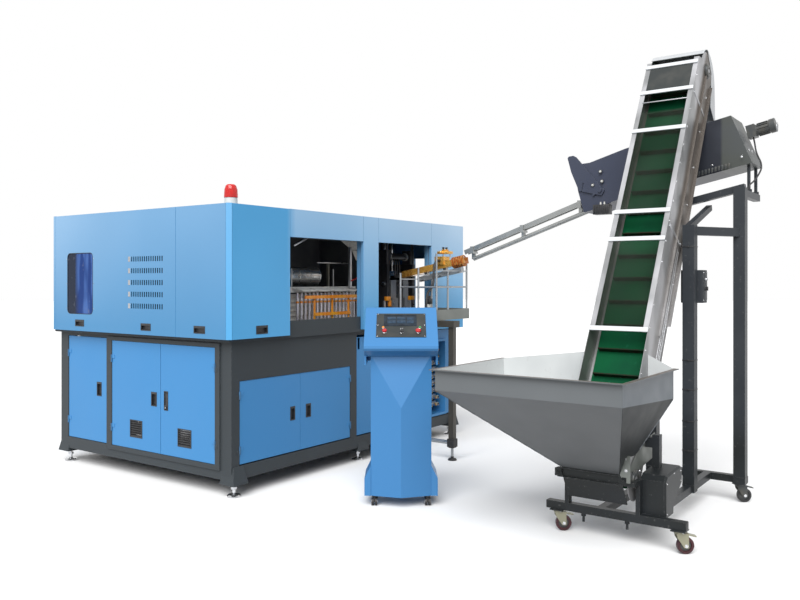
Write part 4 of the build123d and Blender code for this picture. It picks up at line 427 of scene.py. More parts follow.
LOOKS = {
    "cabinet": lambda: sheet_paint("cabinet paint", colours().cabinet_blue[:], colours().cabinet_highlight[:]),
    "door": lambda: sheet_paint("door paint", colours().door_blue[:]),
    "console": lambda: sheet_paint("console paint", colours().console_blue[:]),
    "frame": frame_paint,
    "elevator": elevator_paint,
    "trough": trough_paint,
    "hopper": hopper_steel,
    "conveyor": conveyor_steel,
    "belt": belt_rubber,
    "window": window_sheet,
    "beacon": beacon_red,
    "lit": screen_lit,
    "chrome": chromed_rod,
    "dark": lambda: Finish("dark inner sheet", (0.085, 0.09, 0.098), 0.5)
    .cloud(0.25, (0.15, 0.15, 0.155)).gloss(0.15, 0.35, 0.6),
    "black": lambda: Finish("black plastic", (0.018, 0.018, 0.02), 0.42)
    .cloud(0.03, (0.035, 0.035, 0.037), most=0.7).grain(0.0009, 0.0002, 0.5, 1.0),
    "red": lambda: Finish("red moulding", (0.5, 0.012, 0.016), 0.25, coat=0.4)
    .cloud(0.02, (0.36, 0.006, 0.01), most=0.6),
    "white_plastic": lambda: Finish("white moulding", (0.68, 0.68, 0.65), 0.4)
    .cloud(0.03, (0.55, 0.55, 0.51), most=0.6),
    # Painted light: a paler, lit copy of the hopper steel for its inner faces.
    "hopper_inside_lit": lambda: Finish("hopper inside", (0.62, 0.64, 0.64), 0.4, 0.1, specular=0.25)
    .cloud(0.3, (0.45, 0.47, 0.48), 0.45, 0.8, 0.5).cloud(0.05, (0.5, 0.5, 0.5), 0.64, 0.7, 0.3, 3.0)
    .grain(0.002, 0.0002, 0.2, 2.0, (1, 1, 0.1)),
    "trough_in": lambda: Finish("conveyor inside", (0.14, 0.155, 0.14), 0.42, 0.3)
    .cloud(0.2, (0.09, 0.1, 0.09), most=0.7),
    "cleat": lambda: Finish("cleat rubber", (0.008, 0.03, 0.014), 0.6, specular=0.1)
    .cloud(0.05, (0.03, 0.01, 0.008)).grain(0.002, 0.0003, 0.4),
    "clear": lambda: Finish("clear cover", (0.02, 0.03, 0.02), 0.2, specular=0.08, edge=0.0)
    .cloud(0.3, (0.05, 0.06, 0.05)).fixed({"Alpha": 0.26}).gloss(0.08, 0.1, 0.26),
    "white": lambda: Finish("white paint", colours().bar_white[:], 0.35)
    .cloud(0.2, (0.62, 0.64, 0.65), 0.45, 0.75, 0.5).grain(0.003, 0.0002, 0.25, 1.0),
    # Pale orange edges: wear, with a painted highlight along them.
    "orange": lambda: Finish("orange paint", (0.8, 0.26, 0.012), 0.34)
    .cloud(0.12, (0.85, 0.42, 0.03), 0.45).worn(0.002, (0.9, 0.62, 0.3), 0.7),
    "motor": lambda: Finish("motor paint", (0.045, 0.05, 0.052), 0.38)
    .cloud(0.05, (0.09, 0.085, 0.07), most=0.7).grain(0.002, 0.0004, 0.4),
    "brass": lambda: Finish("brass", (0.82, 0.45, 0.09), 0.26, 0.6)
    .cloud(0.06, (0.5, 0.2, 0.03)).cloud(0.02, (0.85, 0.6, 0.25), 0.55, 0.7, 0.6).gloss(0.04, 0.16, 0.36),
    "copper": lambda: Finish("coupling ribs", (0.42, 0.12, 0.02), 0.3, 0.4)
    .cloud(0.03, (0.6, 0.3, 0.08), 0.45, 0.65, 0.9),
    "screen": lambda: Finish("screen", (0.012, 0.018, 0.026), 0.2, specular=0.2, edge=0.0)
    .cloud(0.05, (0.025, 0.04, 0.06), detail=1.0),
    "plate": lambda: Finish("control plate", (0.035, 0.04, 0.04), 0.45, 0.1, specular=0.25)
    .cloud(0.1, (0.06, 0.062, 0.058)).grain(0.002, 0.0002, 0.3, 2.0, (0.1, 1, 1)),
    "rubber": lambda: Finish("black rubber", (0.014, 0.014, 0.015), 0.55)
    .cloud(0.03, (0.03, 0.03, 0.032)).grain(0.002, 0.0003, 0.4),
    "maroon": lambda: Finish("wheel tyre", (0.05, 0.009, 0.013), 0.4).cloud(0.02, (0.022, 0.007, 0.009)),
    # Painted shade: near black for the walls of the valve bay's recess.
    "bay": lambda: Finish("bay painted_shade", (0.02, 0.022, 0.03), 0.6).cloud(0.1, (0.05, 0.055, 0.07), most=0.7),
    "porcelain": lambda: Finish("porcelain", (0.8, 0.78, 0.72), 0.3).cloud(0.02, (0.6, 0.57, 0.5), most=1.0),
    "olive": lambda: Finish("olive paint", (0.3, 0.29, 0.24), 0.45).cloud(0.2, (0.42, 0.41, 0.33), most=1.0),
    "green": lambda: Finish("green cap", (0.03, 0.35, 0.08), 0.3).cloud(0.02, (0.02, 0.2, 0.05), most=1.0),
    "steel": lambda: brushed("bright steel", (0.5, 0.51, 0.53)),
    "duct": lambda: brushed("polished duct", (0.72, 0.72, 0.7), 0.22, (1, 8, 8), 0.8, 0.55),
    "reflector": lambda: brushed("reflector plate", (0.88, 0.88, 0.85), 0.35, metallic=0.0, dark=0.85),
    "mandrel": lambda: brushed("mandrel steel", (0.66, 0.64, 0.7), 0.28, metallic=0.5, dark=0.45),
    "hinge": lambda: brushed("hinge paint", (0.05, 0.17, 0.34), metallic=0.2),
    "lip": lambda: brushed("rubbed rim", (0.15, 0.13, 0.115), 0.45, metallic=0.2),
    "hood": lambda: brushed("hood sheet", (0.56, 0.58, 0.6), 0.4, (1, 0.1, 1), 0.2, 0.75),
    "post": lambda: brushed("stand post", (0.05, 0.045, 0.036), 0.42, metallic=0.1),
    "clamp": lambda: brushed("clamp black", (0.045, 0.045, 0.05), 0.35, metallic=0.1),
    "rail": lambda: brushed("rail steel", (0.4, 0.41, 0.4), 0.3, (1, 0.1, 1)),
    "zinc": lambda: brushed("zinc", (0.34, 0.33, 0.24), 0.35, metallic=0.5),
    "stand": lambda: brushed("stand steel", (0.42, 0.44, 0.46), 0.32),
    "tray": lambda: brushed("tray steel", (0.2, 0.215, 0.2), 0.4, metallic=0.4),
}
made_looks = {}


def look(name):
    """The finish of that name, made when it is first needed."""
    if name not in made_looks:
        made_looks[name] = LOOKS[name]().material
    return made_looks[name]


class Piece:
    """Fine piece under construction, in layout millimetres."""

    def __init__(self):
        self.mesh = bmesh.new()

    def many(self, shape, places, *values, **details):
        """The same shape at every one of the places."""
        for place in places:
            shape(self, place, *values, **details)
        return self

    def loft(self, rings, loop=False):
        """Skin over rings of points; a ring of one point is a pole."""
        rows = [[self.mesh.verts.new(point) for point in ring] for ring in rings]
        following = rows[1:] + rows[:1] if loop else rows[1:]
        for low, high in zip(rows, following):
            count = max(len(low), len(high))
            for step in range(count):
                after = (step + 1) % count
                corners = [low[step % len(low)], low[after % len(low)], high[after % len(high)],
                           high[step % len(high)]]
                self.mesh.faces.new(list(dict.fromkeys(corners)))
        if not loop:
            for row in (rows[0], rows[-1]):
                if len(row) > 2:
                    self.mesh.faces.new(row)
        return self

    def block(self, centre, size, bevel=1.0):
        """Bar or plate about a centre, its edges rounded."""
        matrix = Matrix.Translation(centre) @ Matrix.Diagonal((*size, 1))
        corners = bmesh.ops.create_cube(self.mesh, size=1.0, matrix=matrix)["verts"]
        edges = list({edge for corner in corners for edge in corner.link_edges})
        bmesh.ops.bevel(self.mesh, geom=edges, offset=bevel, segments=2, affect="EDGES", profile=0.5,
                        clamp_overlap=True)
        return self

    def box(self, x, y, z, bevel=1.0):
        """Bar or plate between the low and high values."""
        low, high = (Vector(corner) for corner in zip(x, y, z))
        return self.block((low + high) / 2, high - low, bevel)

    def beam(self, start, end, width, height, bevel=1.0):
        """Flat or square bar between two points."""
        start, end = Vector(start), Vector(end)
        turn = (end - start).to_track_quat("Z", "X").to_matrix().to_4x4()
        before = set(self.mesh.verts)
        self.block(ORIGIN, (height, width, (end - start).length), bevel)
        fresh = [corner for corner in self.mesh.verts if corner not in before]
        bmesh.ops.transform(self.mesh, matrix=Matrix.Translation((start + end) / 2) @ turn, verts=fresh)
        return self

    def lathe(self, base, profile, axis=UP, sides=20, bored=False):
        """Turned shape; the profile lists distance along the axis and radius, closed on itself if bored."""
        turn = Matrix.Translation(base) @ Vector(axis).to_track_quat("Z", "Y").to_matrix().to_4x4()
        rings = []
        for along, radius in profile:
            count = sides if radius else 1
            angles = [2 * pi * step / count for step in range(count)]
            rings.append([turn @ Vector((radius * cos(a), radius * sin(a), along)) for a in angles])
        return self.loft(rings, loop=bored)

    def tube(self, points, radius, sides=10, smooth=0, loop=False):
        """Rod or wire through the points; smooth adds that many steps of a soft curve between them."""
        path = [Vector(point) for point in points]
        if smooth:
            path = soft_path(path, smooth)
        side = (path[1] - path[0]).orthogonal().normalized()
        rings = []
        for index, point in enumerate(path):
            before = path[max(index - 1, 0)] if not loop else path[index - 1]
            after = path[min(index + 1, len(path) - 1)] if not loop else path[(index + 1) % len(path)]
            along = (after - before).normalized()
            side = (side - along * side.dot(along)).normalized()
            other = along.cross(side)
            angles = [2 * pi * step / sides for step in range(sides)]
            rings.append([point + radius * (side * cos(a) + other * sin(a)) for a in angles])
        return self.loft(rings, loop=loop)

    def ring(self, centre, axis, radius, wire, sides):
        turn = Vector(axis).to_track_quat("Z", "Y").to_matrix()
        angles = [2 * pi * step / sides for step in range(sides)]
        points = [Vector(centre) + turn @ Vector((radius * cos(a), radius * sin(a), 0)) for a in angles]
        return self.tube(points, wire, 8, loop=True)

    def slab(self, corners, depth):
        """Flat outline pushed along a direction."""
        corners = [Vector(corner) for corner in corners]
        return self.loft([corners, [corner + Vector(depth) for corner in corners]])

    def bolt(self, place, axis, radius, height):
        """Hexagon head on its washer."""
        washer = height * 0.22
        self.lathe(place, [(0, radius * 1.35), (washer, radius * 1.35)], axis, 14)
        head = Vector(place) + Vector(axis).normalized() * washer
        profile = [(0, radius), (height * 0.66, radius), (height * 0.78, radius * 0.82)]
        return self.lathe(head, profile, axis, 6)

    def screw(self, place, axis, radius):
        """Button head with its socket."""
        profile = [(0, radius), (radius * 0.35, radius * 0.94), (radius * 0.55, radius * 0.6),
                   (radius * 0.55, radius * 0.42), (radius * 0.2, radius * 0.4), (radius * 0.2, 0)]
        return self.lathe(place, profile, axis, 12)

    def done(self, name, finish, body="root", matrix=None):
        """Turns the shape into an object that rides on its body."""
        if matrix:
            bmesh.ops.transform(self.mesh, matrix=matrix, verts=self.mesh.verts)
        bmesh.ops.transform(self.mesh, matrix=LAYOUT, verts=self.mesh.verts)
        bmesh.ops.recalc_face_normals(self.mesh, faces=self.mesh.faces)
        data = bpy.data.meshes.new(name)
        self.mesh.to_mesh(data)
        self.mesh.free()
        data.shade_smooth()
        data.set_sharp_from_angle(angle=radians(35))
        data.materials.append(look(finish))
        piece = bpy.data.objects.new(name, data)
        bpy.context.collection.objects.link(piece)
        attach(piece, body)
        return piece


def soft_path(points, steps):
    """Points of a soft curve that passes through the given ones."""
    ends = [2 * points[0] - points[1], *points, 2 * points[-1] - points[-2]]
    path = []
    for index in range(1, len(ends) - 2):
        p0, p1, p2, p3 = ends[index - 1:index + 3]
        for step in range(steps):
            u = step / steps
            path.append(0.5 * (2 * p1 + (p2 - p0) * u + (2 * p0 - 5 * p1 + 4 * p2 - p3) * u * u
                               + (3 * p1 - p0 - 3 * p2 + p3) * u ** 3))
    return path + [points[-1]]


def dress(node, finish, *zones):
    """Gives a solid of the frame its finish; each zone is a test of a face and its own finish."""
    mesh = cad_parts[node].data
    mesh.materials.clear()
    mesh.materials.append(look(finish))
    back = LAYOUT.inverted()
    places = [back @ vertex.co for vertex in mesh.vertices]
    for inside, other in zones:
        mesh.materials.append(look(other))
        index = len(mesh.materials) - 1
        for polygon in mesh.polygons:
            if inside([places[corner] for corner in polygon.vertices], polygon.normal):
                polygon.material_index = index


def dress_whole(**finishes):
    """Gives each named solid one finish all over."""
    for node, finish in finishes.items():
        dress(node, finish)


def within(x, y, z):
    """Test for a face that lies wholly in a box."""
    def inside(corners, normal):
        return all(x[0] <= p.x <= x[1] and y[0] <= p.y <= y[1] and z[0] <= p.z <= z[1] for p in corners)
    return inside


def centre_of(corners):
    return sum(corners, Vector()) / len(corners)


def require(*nodes):
    for node in nodes:
        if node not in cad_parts:
            raise RuntimeError(f"the frame has no piece called {node}")


# Each lower door: its hinge's place, face plane, low and high end, whether it is in the end
# face, and the boxes of its black pull and vent
DOORS = {
    "far_end_door": (2068, 0, 230, 1112, True, [((-6, 30), (1586, 1657), (616, 738))]),
    "middle_end_door": (1427, -12, 232, 1097, True, [((-20, 18), (840, 914), (598, 714)),
                                                     ((-14, 16), (1024, 1184), (324, 467))]),
    "near_end_door": (165, -12, 232, 1097, True, [((-20, 18), (702, 755), (578, 732)),
                                                  ((-14, 16), (429, 590), (316, 457))]),
    "front_left_door": (83, 0, 235, 850, False, [((623, 682), (-6, 30), (482, 596))]),
    "front_right_door": (1375, 0, 235, 850, False, [((806, 870), (-6, 30), (482, 596))]),
}
# Boxes of the black pulls in the guards
GUARD_PULLS = {
    "large_end_guard": [((-84, -58), (1713, 1842), (1206, 1264)), ((-84, -58), (823, 949), (1201, 1259))],
    "small_end_guard": [((-84, -58), (192, 319), (1202, 1260))],
    "front_guard": [((189, 312), (-64, -38), (1194, 1259))],
}


def hinge_zones(place, plane, low, high, end):
    """Tests for the faces of a door's two hinge barrels."""
    side, out = (place - 8, place + 8), (plane - 8, plane + 8)
    flat = (out, side) if end else (side, out)
    reach = 0.17 * (high - low)
    return [(within(*flat, (height - 31, height + 31)), "hinge") for height in (low + reach, high - reach)]


class LINE_OT_cabinet(bpy.types.Operator):
    """Paints the cabinet, its guards and its beacon"""

    bl_idname = "line.cabinet"
    bl_label = "Cabinet and guards"

    def execute(self, context):
        require("cabinet_front", "cabinet_rear", "guard_window", "beacon_lens")
        dress_whole(cabinet_front="cabinet", cabinet_rear="cabinet", guard_window="window",
                    beacon_base="white_plastic", beacon_lens="beacon")
        for guard, pulls in GUARD_PULLS.items():
            dress(guard, "cabinet", *[(within(*pull), "black") for pull in pulls])

        rounding = 38
        outline = []
        for turn, (y, z) in enumerate(((1919, 1790), (1628, 1790), (1628, 1351), (1919, 1351))):
            for step in range(7):
                angle = (turn + step / 6) * pi / 2
                outline.append((GUARD_FACE + 0.4, y + rounding * cos(angle), z + rounding * sin(angle)))
        Piece().tube(outline, 2.6, 8, loop=True).done("window_gasket", "rubber", "large_end_guard")
        places = product((GUARD_FACE,), (1576, 1971), (1360, 1570, 1780))
        Piece().many(Piece.screw, places, WEST, 4.2).done("window_screws", "chrome", "large_end_guard")

        plates, blades = Piece(), Piece()
        for row in range(5):
            z = 1373 + 93.5 * row
            plates.box((GUARD_FACE - 1.5, GUARD_FACE), (1083, 1110), (z, z + 40), 0.6)
            for blade in range(15):
                y = 1065 - 27 * blade
                corners = ((-76.9, y - 13), (-72, y - 9), (-72, y - 8), (-76.9, y - 12))
                blades.slab([(*corner, z + 2) for corner in corners], (0, 0, 36))
        plates.done("louvre_plates", "steel", "large_end_guard")
        blades.done("louvre_blades", "cabinet", "large_end_guard")
        screen = Piece().box((-70, -68.5), (665, 1085), (1355, 1805), 0.5)
        screen.done("louvre_screen", "rubber", "large_end_guard")

        bulb = [(0, 30), (6, 30), (6, 13), (16, 13), (22, 19), (44, 24), (60, 20), (68, 10), (70, 0)]
        Piece().lathe((120, 135, 2224), bulb, UP, 24).done("beacon_bulb", "porcelain")
        angles = [pi / 4 + step * pi / 2 for step in range(4)]
        places = [(120 + 52 * cos(angle), 135 + 52 * sin(angle), 2166) for angle in angles]
        fixings = Piece().ring((120, 135, 2222), UP, 46, 2.0, 32).many(Piece.bolt, places, UP, 3.2, 3.0)
        fixings.done("beacon_fixings", "chrome")

        edges = [*product(range(60, 3100, 253), (40, 2130), (ROOF_TOP,)),
                 *product((-20, 3110), range(300, 2100, 260), (ROOF_TOP,))]
        Piece().many(Piece.screw, edges, UP, 6.0).done("roof_screws", "steel")
        return {"FINISHED"}


class LINE_OT_lower_frame(bpy.types.Operator):
    """Paints the lower frame, its doors, panels and feet"""

    bl_idname = "line.lower_frame"
    bl_label = "Lower frame and doors"

    def execute(self, context):
        frame_zones = []
        for door, (*hinge, moulded) in DOORS.items():
            frame_zones += hinge_zones(*hinge)
            dress(door, "door", *hinge_zones(*hinge), *[(within(*box), "black") for box in moulded])
        dress("base_frame", "frame", *frame_zones)
        # The valve bay's recess gets painted shade.
        dress("lower_panels", "door", (within((2630, 2900), (6, 160), (250, 990)), "bay"))
        dress_whole(near_door_lever="black", levelling_feet="chrome", valve_manifold="steel")
        Piece().screw((-16, 728.5, 602), WEST, 6.0).done("lever_lock_disc", "chrome", "near_door_lever")

        coils, caps, elbows = Piece(), Piece(), Piece()
        for x, z in product((2700, 2820), range(343, 904, 70)):
            coils.block((x, 41, z), (30, 22, 28), 2.5)
            caps.lathe((x, 30, z), [(0, 8), (9, 8), (11, 6), (11, 0)], SOUTH, 14)
            for side in (x - 23, x + 23):
                elbows.tube([(side, 54, z), (side, 42, z), (side, 37, z - 5), (side, 37, z - 18)], 4.5, 8, 2)
        coils.done("valve_coils", "olive")
        caps.done("coil_caps", "black")
        elbows.done("valve_elbows", "brass")

        end_rows = [(x, y, z) for x, z in ((-48, 1190), (0, 205)) for y in (150, 1440, 1512)]
        front_row = product((40, 700, 1420, 2100, 2980), (0,), (205,))
        bolts = Piece().many(Piece.bolt, end_rows, WEST, 6.0, 4.0)
        bolts.many(Piece.bolt, front_row, SOUTH, 6.0, 4.0).done("frame_bolts", "frame")
        return {"FINISHED"}


class LINE_OT_oven(bpy.types.Operator):
    """Finishes the heating section"""

    bl_idname = "line.oven"
    bl_label = "Heating section"

    def execute(self, context):
        dress_whole(oven_wall="dark", air_duct="duct", lamp_reflectors="reflector", oven_rails="orange",
                    mandrel_row="mandrel")

        lamp_ends = (985, 1850)
        heights = range(1250, 1451, 40)
        tubes = Piece()
        for z in heights:
            tubes.tube([(x, 372, z) for x in lamp_ends], 5.5, 10)
        tubes.done("lamp_tubes", "porcelain")
        ends = Piece().many(Piece.block, product(lamp_ends, (372,), heights), (24, 16, 20), 2)
        ends.done("lamp_ends", "porcelain")
        Piece().box((965, 1870), (386, 389), (1222, 1478), 0.5).done("lamp_back_plate", "reflector")

        brackets = Piece().beam((983, 300, 1893), (1174, 300, 1975), 12, 16)
        brackets.box((1642, 1666), (218, 242), (1527, 1900), 2)
        brackets.box((1642, 2200), (614, 626), (1758, 1770), 1.5)
        brackets.many(Piece.block, [(1015, 358, 1620), (1565, 358, 1620)], (10, 12, 160), 1)
        brackets.done("oven_brackets", "steel")
        Piece().box((1767, 1789), (590, 612), (1168, 1752), 2).done("oven_post", "olive")

        hood = Piece()
        hood.slab([(1629, 330, 1969), (2061, 330, 1958), (1999, 330, 1888), (1803, 330, 1882)], (0, 4, 0))
        hood.slab([(1629, 330, 1969), (2061, 330, 1958), (2061, 372, 1962), (1629, 372, 1973)], (0, 0, 2))
        hood.slab([(1769, 300, 1879), (1889, 300, 1873), (1889, 300, 1760), (1828, 300, 1787)], (0, 4, 0))
        hood.done("exit_hood_plates", "porcelain")
        lever = Piece().tube([(1646, 214, 1591), (1672, 200, 1604), (1696, 190, 1614)], 5, 8)
        lever.lathe((1696, 190, 1614), [(0, 9), (10, 10), (18, 6), (20, 0)], (26, -10, 10), 14)
        lever.done("release_lever", "red")

        stations = [985 + 50.8 * index for index in range(17)]
        tip = [(0, 10.5), (3, 10.5), (5, 9.4), (5, 6), (1, 6), (1, 0)]
        places = product(stations, (260,), (1485.5,))
        Piece().many(Piece.lathe, places, tip, UP, 14).done("mandrel_tips", "white_plastic")
        collar = [(0, 12.6), (5, 12.6), (6, 15.8), (9, 15.8), (10, 12.6), (16, 12.6)]
        places = product(stations, (260,), (1402,))
        Piece().many(Piece.lathe, places, collar, UP, 16).done("mandrel_collars", "orange")

        chain = Piece()
        for x in (955 + 33.5 * index for index in range(40)):
            chain.block((x, 228, 1193), (20, 4, 26), 1.2)
            chain.lathe((x, 226, 1193), [(0, 6), (5, 6), (6, 4), (6, 0)], SOUTH, 10)
        chain.done("track_chain", "chrome")
        terminals, marks = Piece(), Piece()
        for x in (676, 750, 828):
            terminals.block((x, 294, 1227), (56, 64, 122), 3)
            lead = ((x, 1288), (x, 1330), (x + 32, 1352), (x + 68, 1352))
            terminals.tube([(along, 290, z) for along, z in lead], 7, 8, 2)
            marks.block((x - 1, 259, 1244), (34, 6, 36), 1.5)
        terminals.done("heating_terminals", "black")
        marks.done("terminal_marks", "orange")
        places = [(x, 480 + 80 * cos(step * pi / 5), 1634 + 80 * sin(step * pi / 5))
                  for x in (1046, 1186, 1326, 1450) for step in range(10)]
        Piece().many(Piece.bolt, places, EAST, 2.4, 3.5).done("duct_bolts", "chrome")
        return {"FINISHED"}


class LINE_OT_clamp(bpy.types.Operator):
    """Finishes the clamp, the moulds and the blow head"""

    bl_idname = "line.clamp"
    bl_label = "Clamp and moulds"

    def execute(self, context):
        dress_whole(clamp_frame="clamp", left_platen="steel", right_platen="steel", blow_head="chrome")

        rings = Piece()
        for x, length in ((2690, 22), (2412, 12)):
            profile = [(0, 34.3), (0, 40), (length, 40), (length, 34.3)]
            rings.lathe((x, 360, 1835), profile, EAST, 28, bored=True)
        rings.done("cylinder_rings", "white_plastic")
        pipes = Piece().box((2425, 2535), (284, 300), (1622, 1646), 2)
        for x in (2440, 2478, 2516):
            pipes.tube([(x, 318, 1805), (x, 300, 1790), (x, 292, 1760), (x, 292, 1640)], 7, 10, 3)
        pipes.done("clamp_pipes", "black")
        nut = [(0, 26), (12, 26), (14, 22), (14, 0)]
        nuts = Piece()
        for y in (340, 580):
            nuts.many(Piece.lathe, product((2320,), (y,), (1230, 1560)), nut, WEST, 6)
            nuts.many(Piece.lathe, product((2800,), (y,), (1230, 1560)), nut, EAST, 6)
            nuts.many(Piece.bolt, product((2340, 2780), (300,), (1250, 1350, 1450)), SOUTH, 7, 5)
        nuts.done("tie_bar_nuts", "chrome")
        blocks = Piece().box((2165, 2230), (190, 222), (1400, 1440), 3)
        blocks.box((2214, 2250), (196, 216), (1344, 1400), 2).box((2560, 2640), (190, 222), (1400, 1440), 3)
        blocks.done("transfer_blocks", "orange")
        arms = Piece().beam((2180, 230, 1210), (2180, 230, 1400), 18, 24)
        arms.beam((2620, 240, 1180), (2620, 240, 1400), 18, 24).done("transfer_arms", "steel")
        for body, x in (("left_platen", 2432), ("right_platen", 2688)):
            places = product((x - 14, x + 4), (300,), (1225, 1320, 1385))
            Piece().many(Piece.screw, places, SOUTH, 6).done(body + "_screws", "chrome", body)
        return {"FINISHED"}


class LINE_OT_console(bpy.types.Operator):
    """Finishes the control console"""

    bl_idname = "line.console"
    bl_label = "Console"

    def execute(self, context):
        dress_whole(console_housing="console", control_plate="plate", touch_screen="screen",
                    stop_button="red", emergency_button="red", mode_selector="black",
                    console_castors="rubber")

        collar = [(0, 11.6), (0, 17), (2, 17), (3, 15.8), (3, 11.6)]
        collars = Piece().many(Piece.lathe, product((-118, 122, 4), (0,), (0,)), collar, UP, 24, bored=True)
        collars.done("button_collars", "chrome", matrix=desk_matrix(-78, 0, 4))
        lamp = [(0, 9), (3, 9), (4, 7.5), (8, 7), (10, 4), (10.5, 0)]
        for name, across, finish in (("orange_lamp", -128, "orange"), ("green_lamp", 135, "green")):
            place = desk_matrix(-30, across, 4)
            Piece().lathe(ORIGIN, lamp, UP, 20).done(name, finish, matrix=place)
            Piece().ring((0, 0, 1), UP, 9.6, 1.3, 20).done(name + "_ring", "chrome", matrix=place)
        key = Piece().lathe(ORIGIN, [(0, 10), (2, 10), (3, 8), (3, 0)], UP, 20)
        key.done("key_switch_ring", "chrome", matrix=desk_matrix(-40, 4, 4))
        key = Piece().lathe(ORIGIN, [(0, 6.5), (3, 6.5), (3.6, 5.5), (3.6, 0)], UP, 16)
        key.box((-1, 1), (-5, 5), (3, 5), 0.3)
        key.done("key_switch_core", "black", matrix=desk_matrix(-40, 4, 6.4))

        fields = Piece()
        for across, wide in ((-62, 62), (8, 62), (72, 50)):
            fields.many(Piece.block, [(across, 22, 0.25), (across, -20, 0.25)], (wide, 34, 0.5), 0.2)
        fields.done("screen_fields", "lit", matrix=desk_matrix(55, -6, 6.1))
        screws = Piece().many(Piece.screw, product((-168, 168), (-128, 0, 128), (0,)), UP, 4)
        screws.done("plate_screws", "chrome", matrix=desk_matrix(0, 0, 4))

        stand = console_matrix()
        door = Piece().box((-180, 180), (166, 168.5), (130, 960), 1)
        door.done("console_rear_door", "console", matrix=stand)
        handle = Piece().box((140, 158), (168.5, 176), (500, 600), 2)
        handle.lathe((149, 176, 580), [(0, 7), (3, 7), (4, 5), (4, 0)], NORTH, 14)
        handle.done("console_door_handle", "black", matrix=stand)
        hinges = Piece().many(Piece.lathe, [(-184, 170, 220), (-184, 170, 860)], [(0, 5), (56, 5)], UP, 12)
        hinges.done("console_door_hinges", "chrome", matrix=stand)
        cap = [(0, 11), (2, 11), (3, 8), (3, 0)]
        caps = Piece().many(Piece.lathe, product((-210, 170), (-88, 122), (27,)), cap, WEST, 18)
        caps.many(Piece.lathe, product((-170, 210), (-88, 122), (27,)), cap, EAST, 18)
        caps.done("console_wheel_caps", "steel", matrix=stand)
        return {"FINISHED"}


class LINE_OT_hopper(bpy.types.Operator):
    """Finishes the hopper"""

    bl_idname = "line.hopper"
    bl_label = "Hopper"

    def execute(self, context):
        middle = Vector((560, -2400, 900))

        def inner(corners, normal):
            return normal.dot(middle - centre_of(corners)) > 0

        def rim(corners, normal):
            return min(point.z for point in corners) > 1020 and abs(normal.z) > 0.9

        # Inner faces get the lit copy of the steel.
        dress("hopper", "hopper", (inner, "hopper_inside_lit"), (rim, "lip"))

        seams = Piece()
        for x, z, mouth_x, mouth_z, stop in ((90, 920, 606, 434, 0.98), (975, 865, 676, 430, 0.68)):
            for y, mouth_y in ((-2900, -2690), (-1715, -2324)):
                start, end = Vector((x, y, z)), Vector((mouth_x, mouth_y, mouth_z))
                seams.tube([start.lerp(end, 0.01 + stop * step / 24) + Vector((0, 0, 0.6 * (-1) ** step))
                            for step in range(25)], 3.0, 7)
        seams.done("hopper_seams", "hopper")
        places = product((97,), (-2600, -2300, -2000), (1010,))
        Piece().many(Piece.bolt, places, EAST, 6, 5).done("hopper_wall_bolts", "chrome")
        return {"FINISHED"}


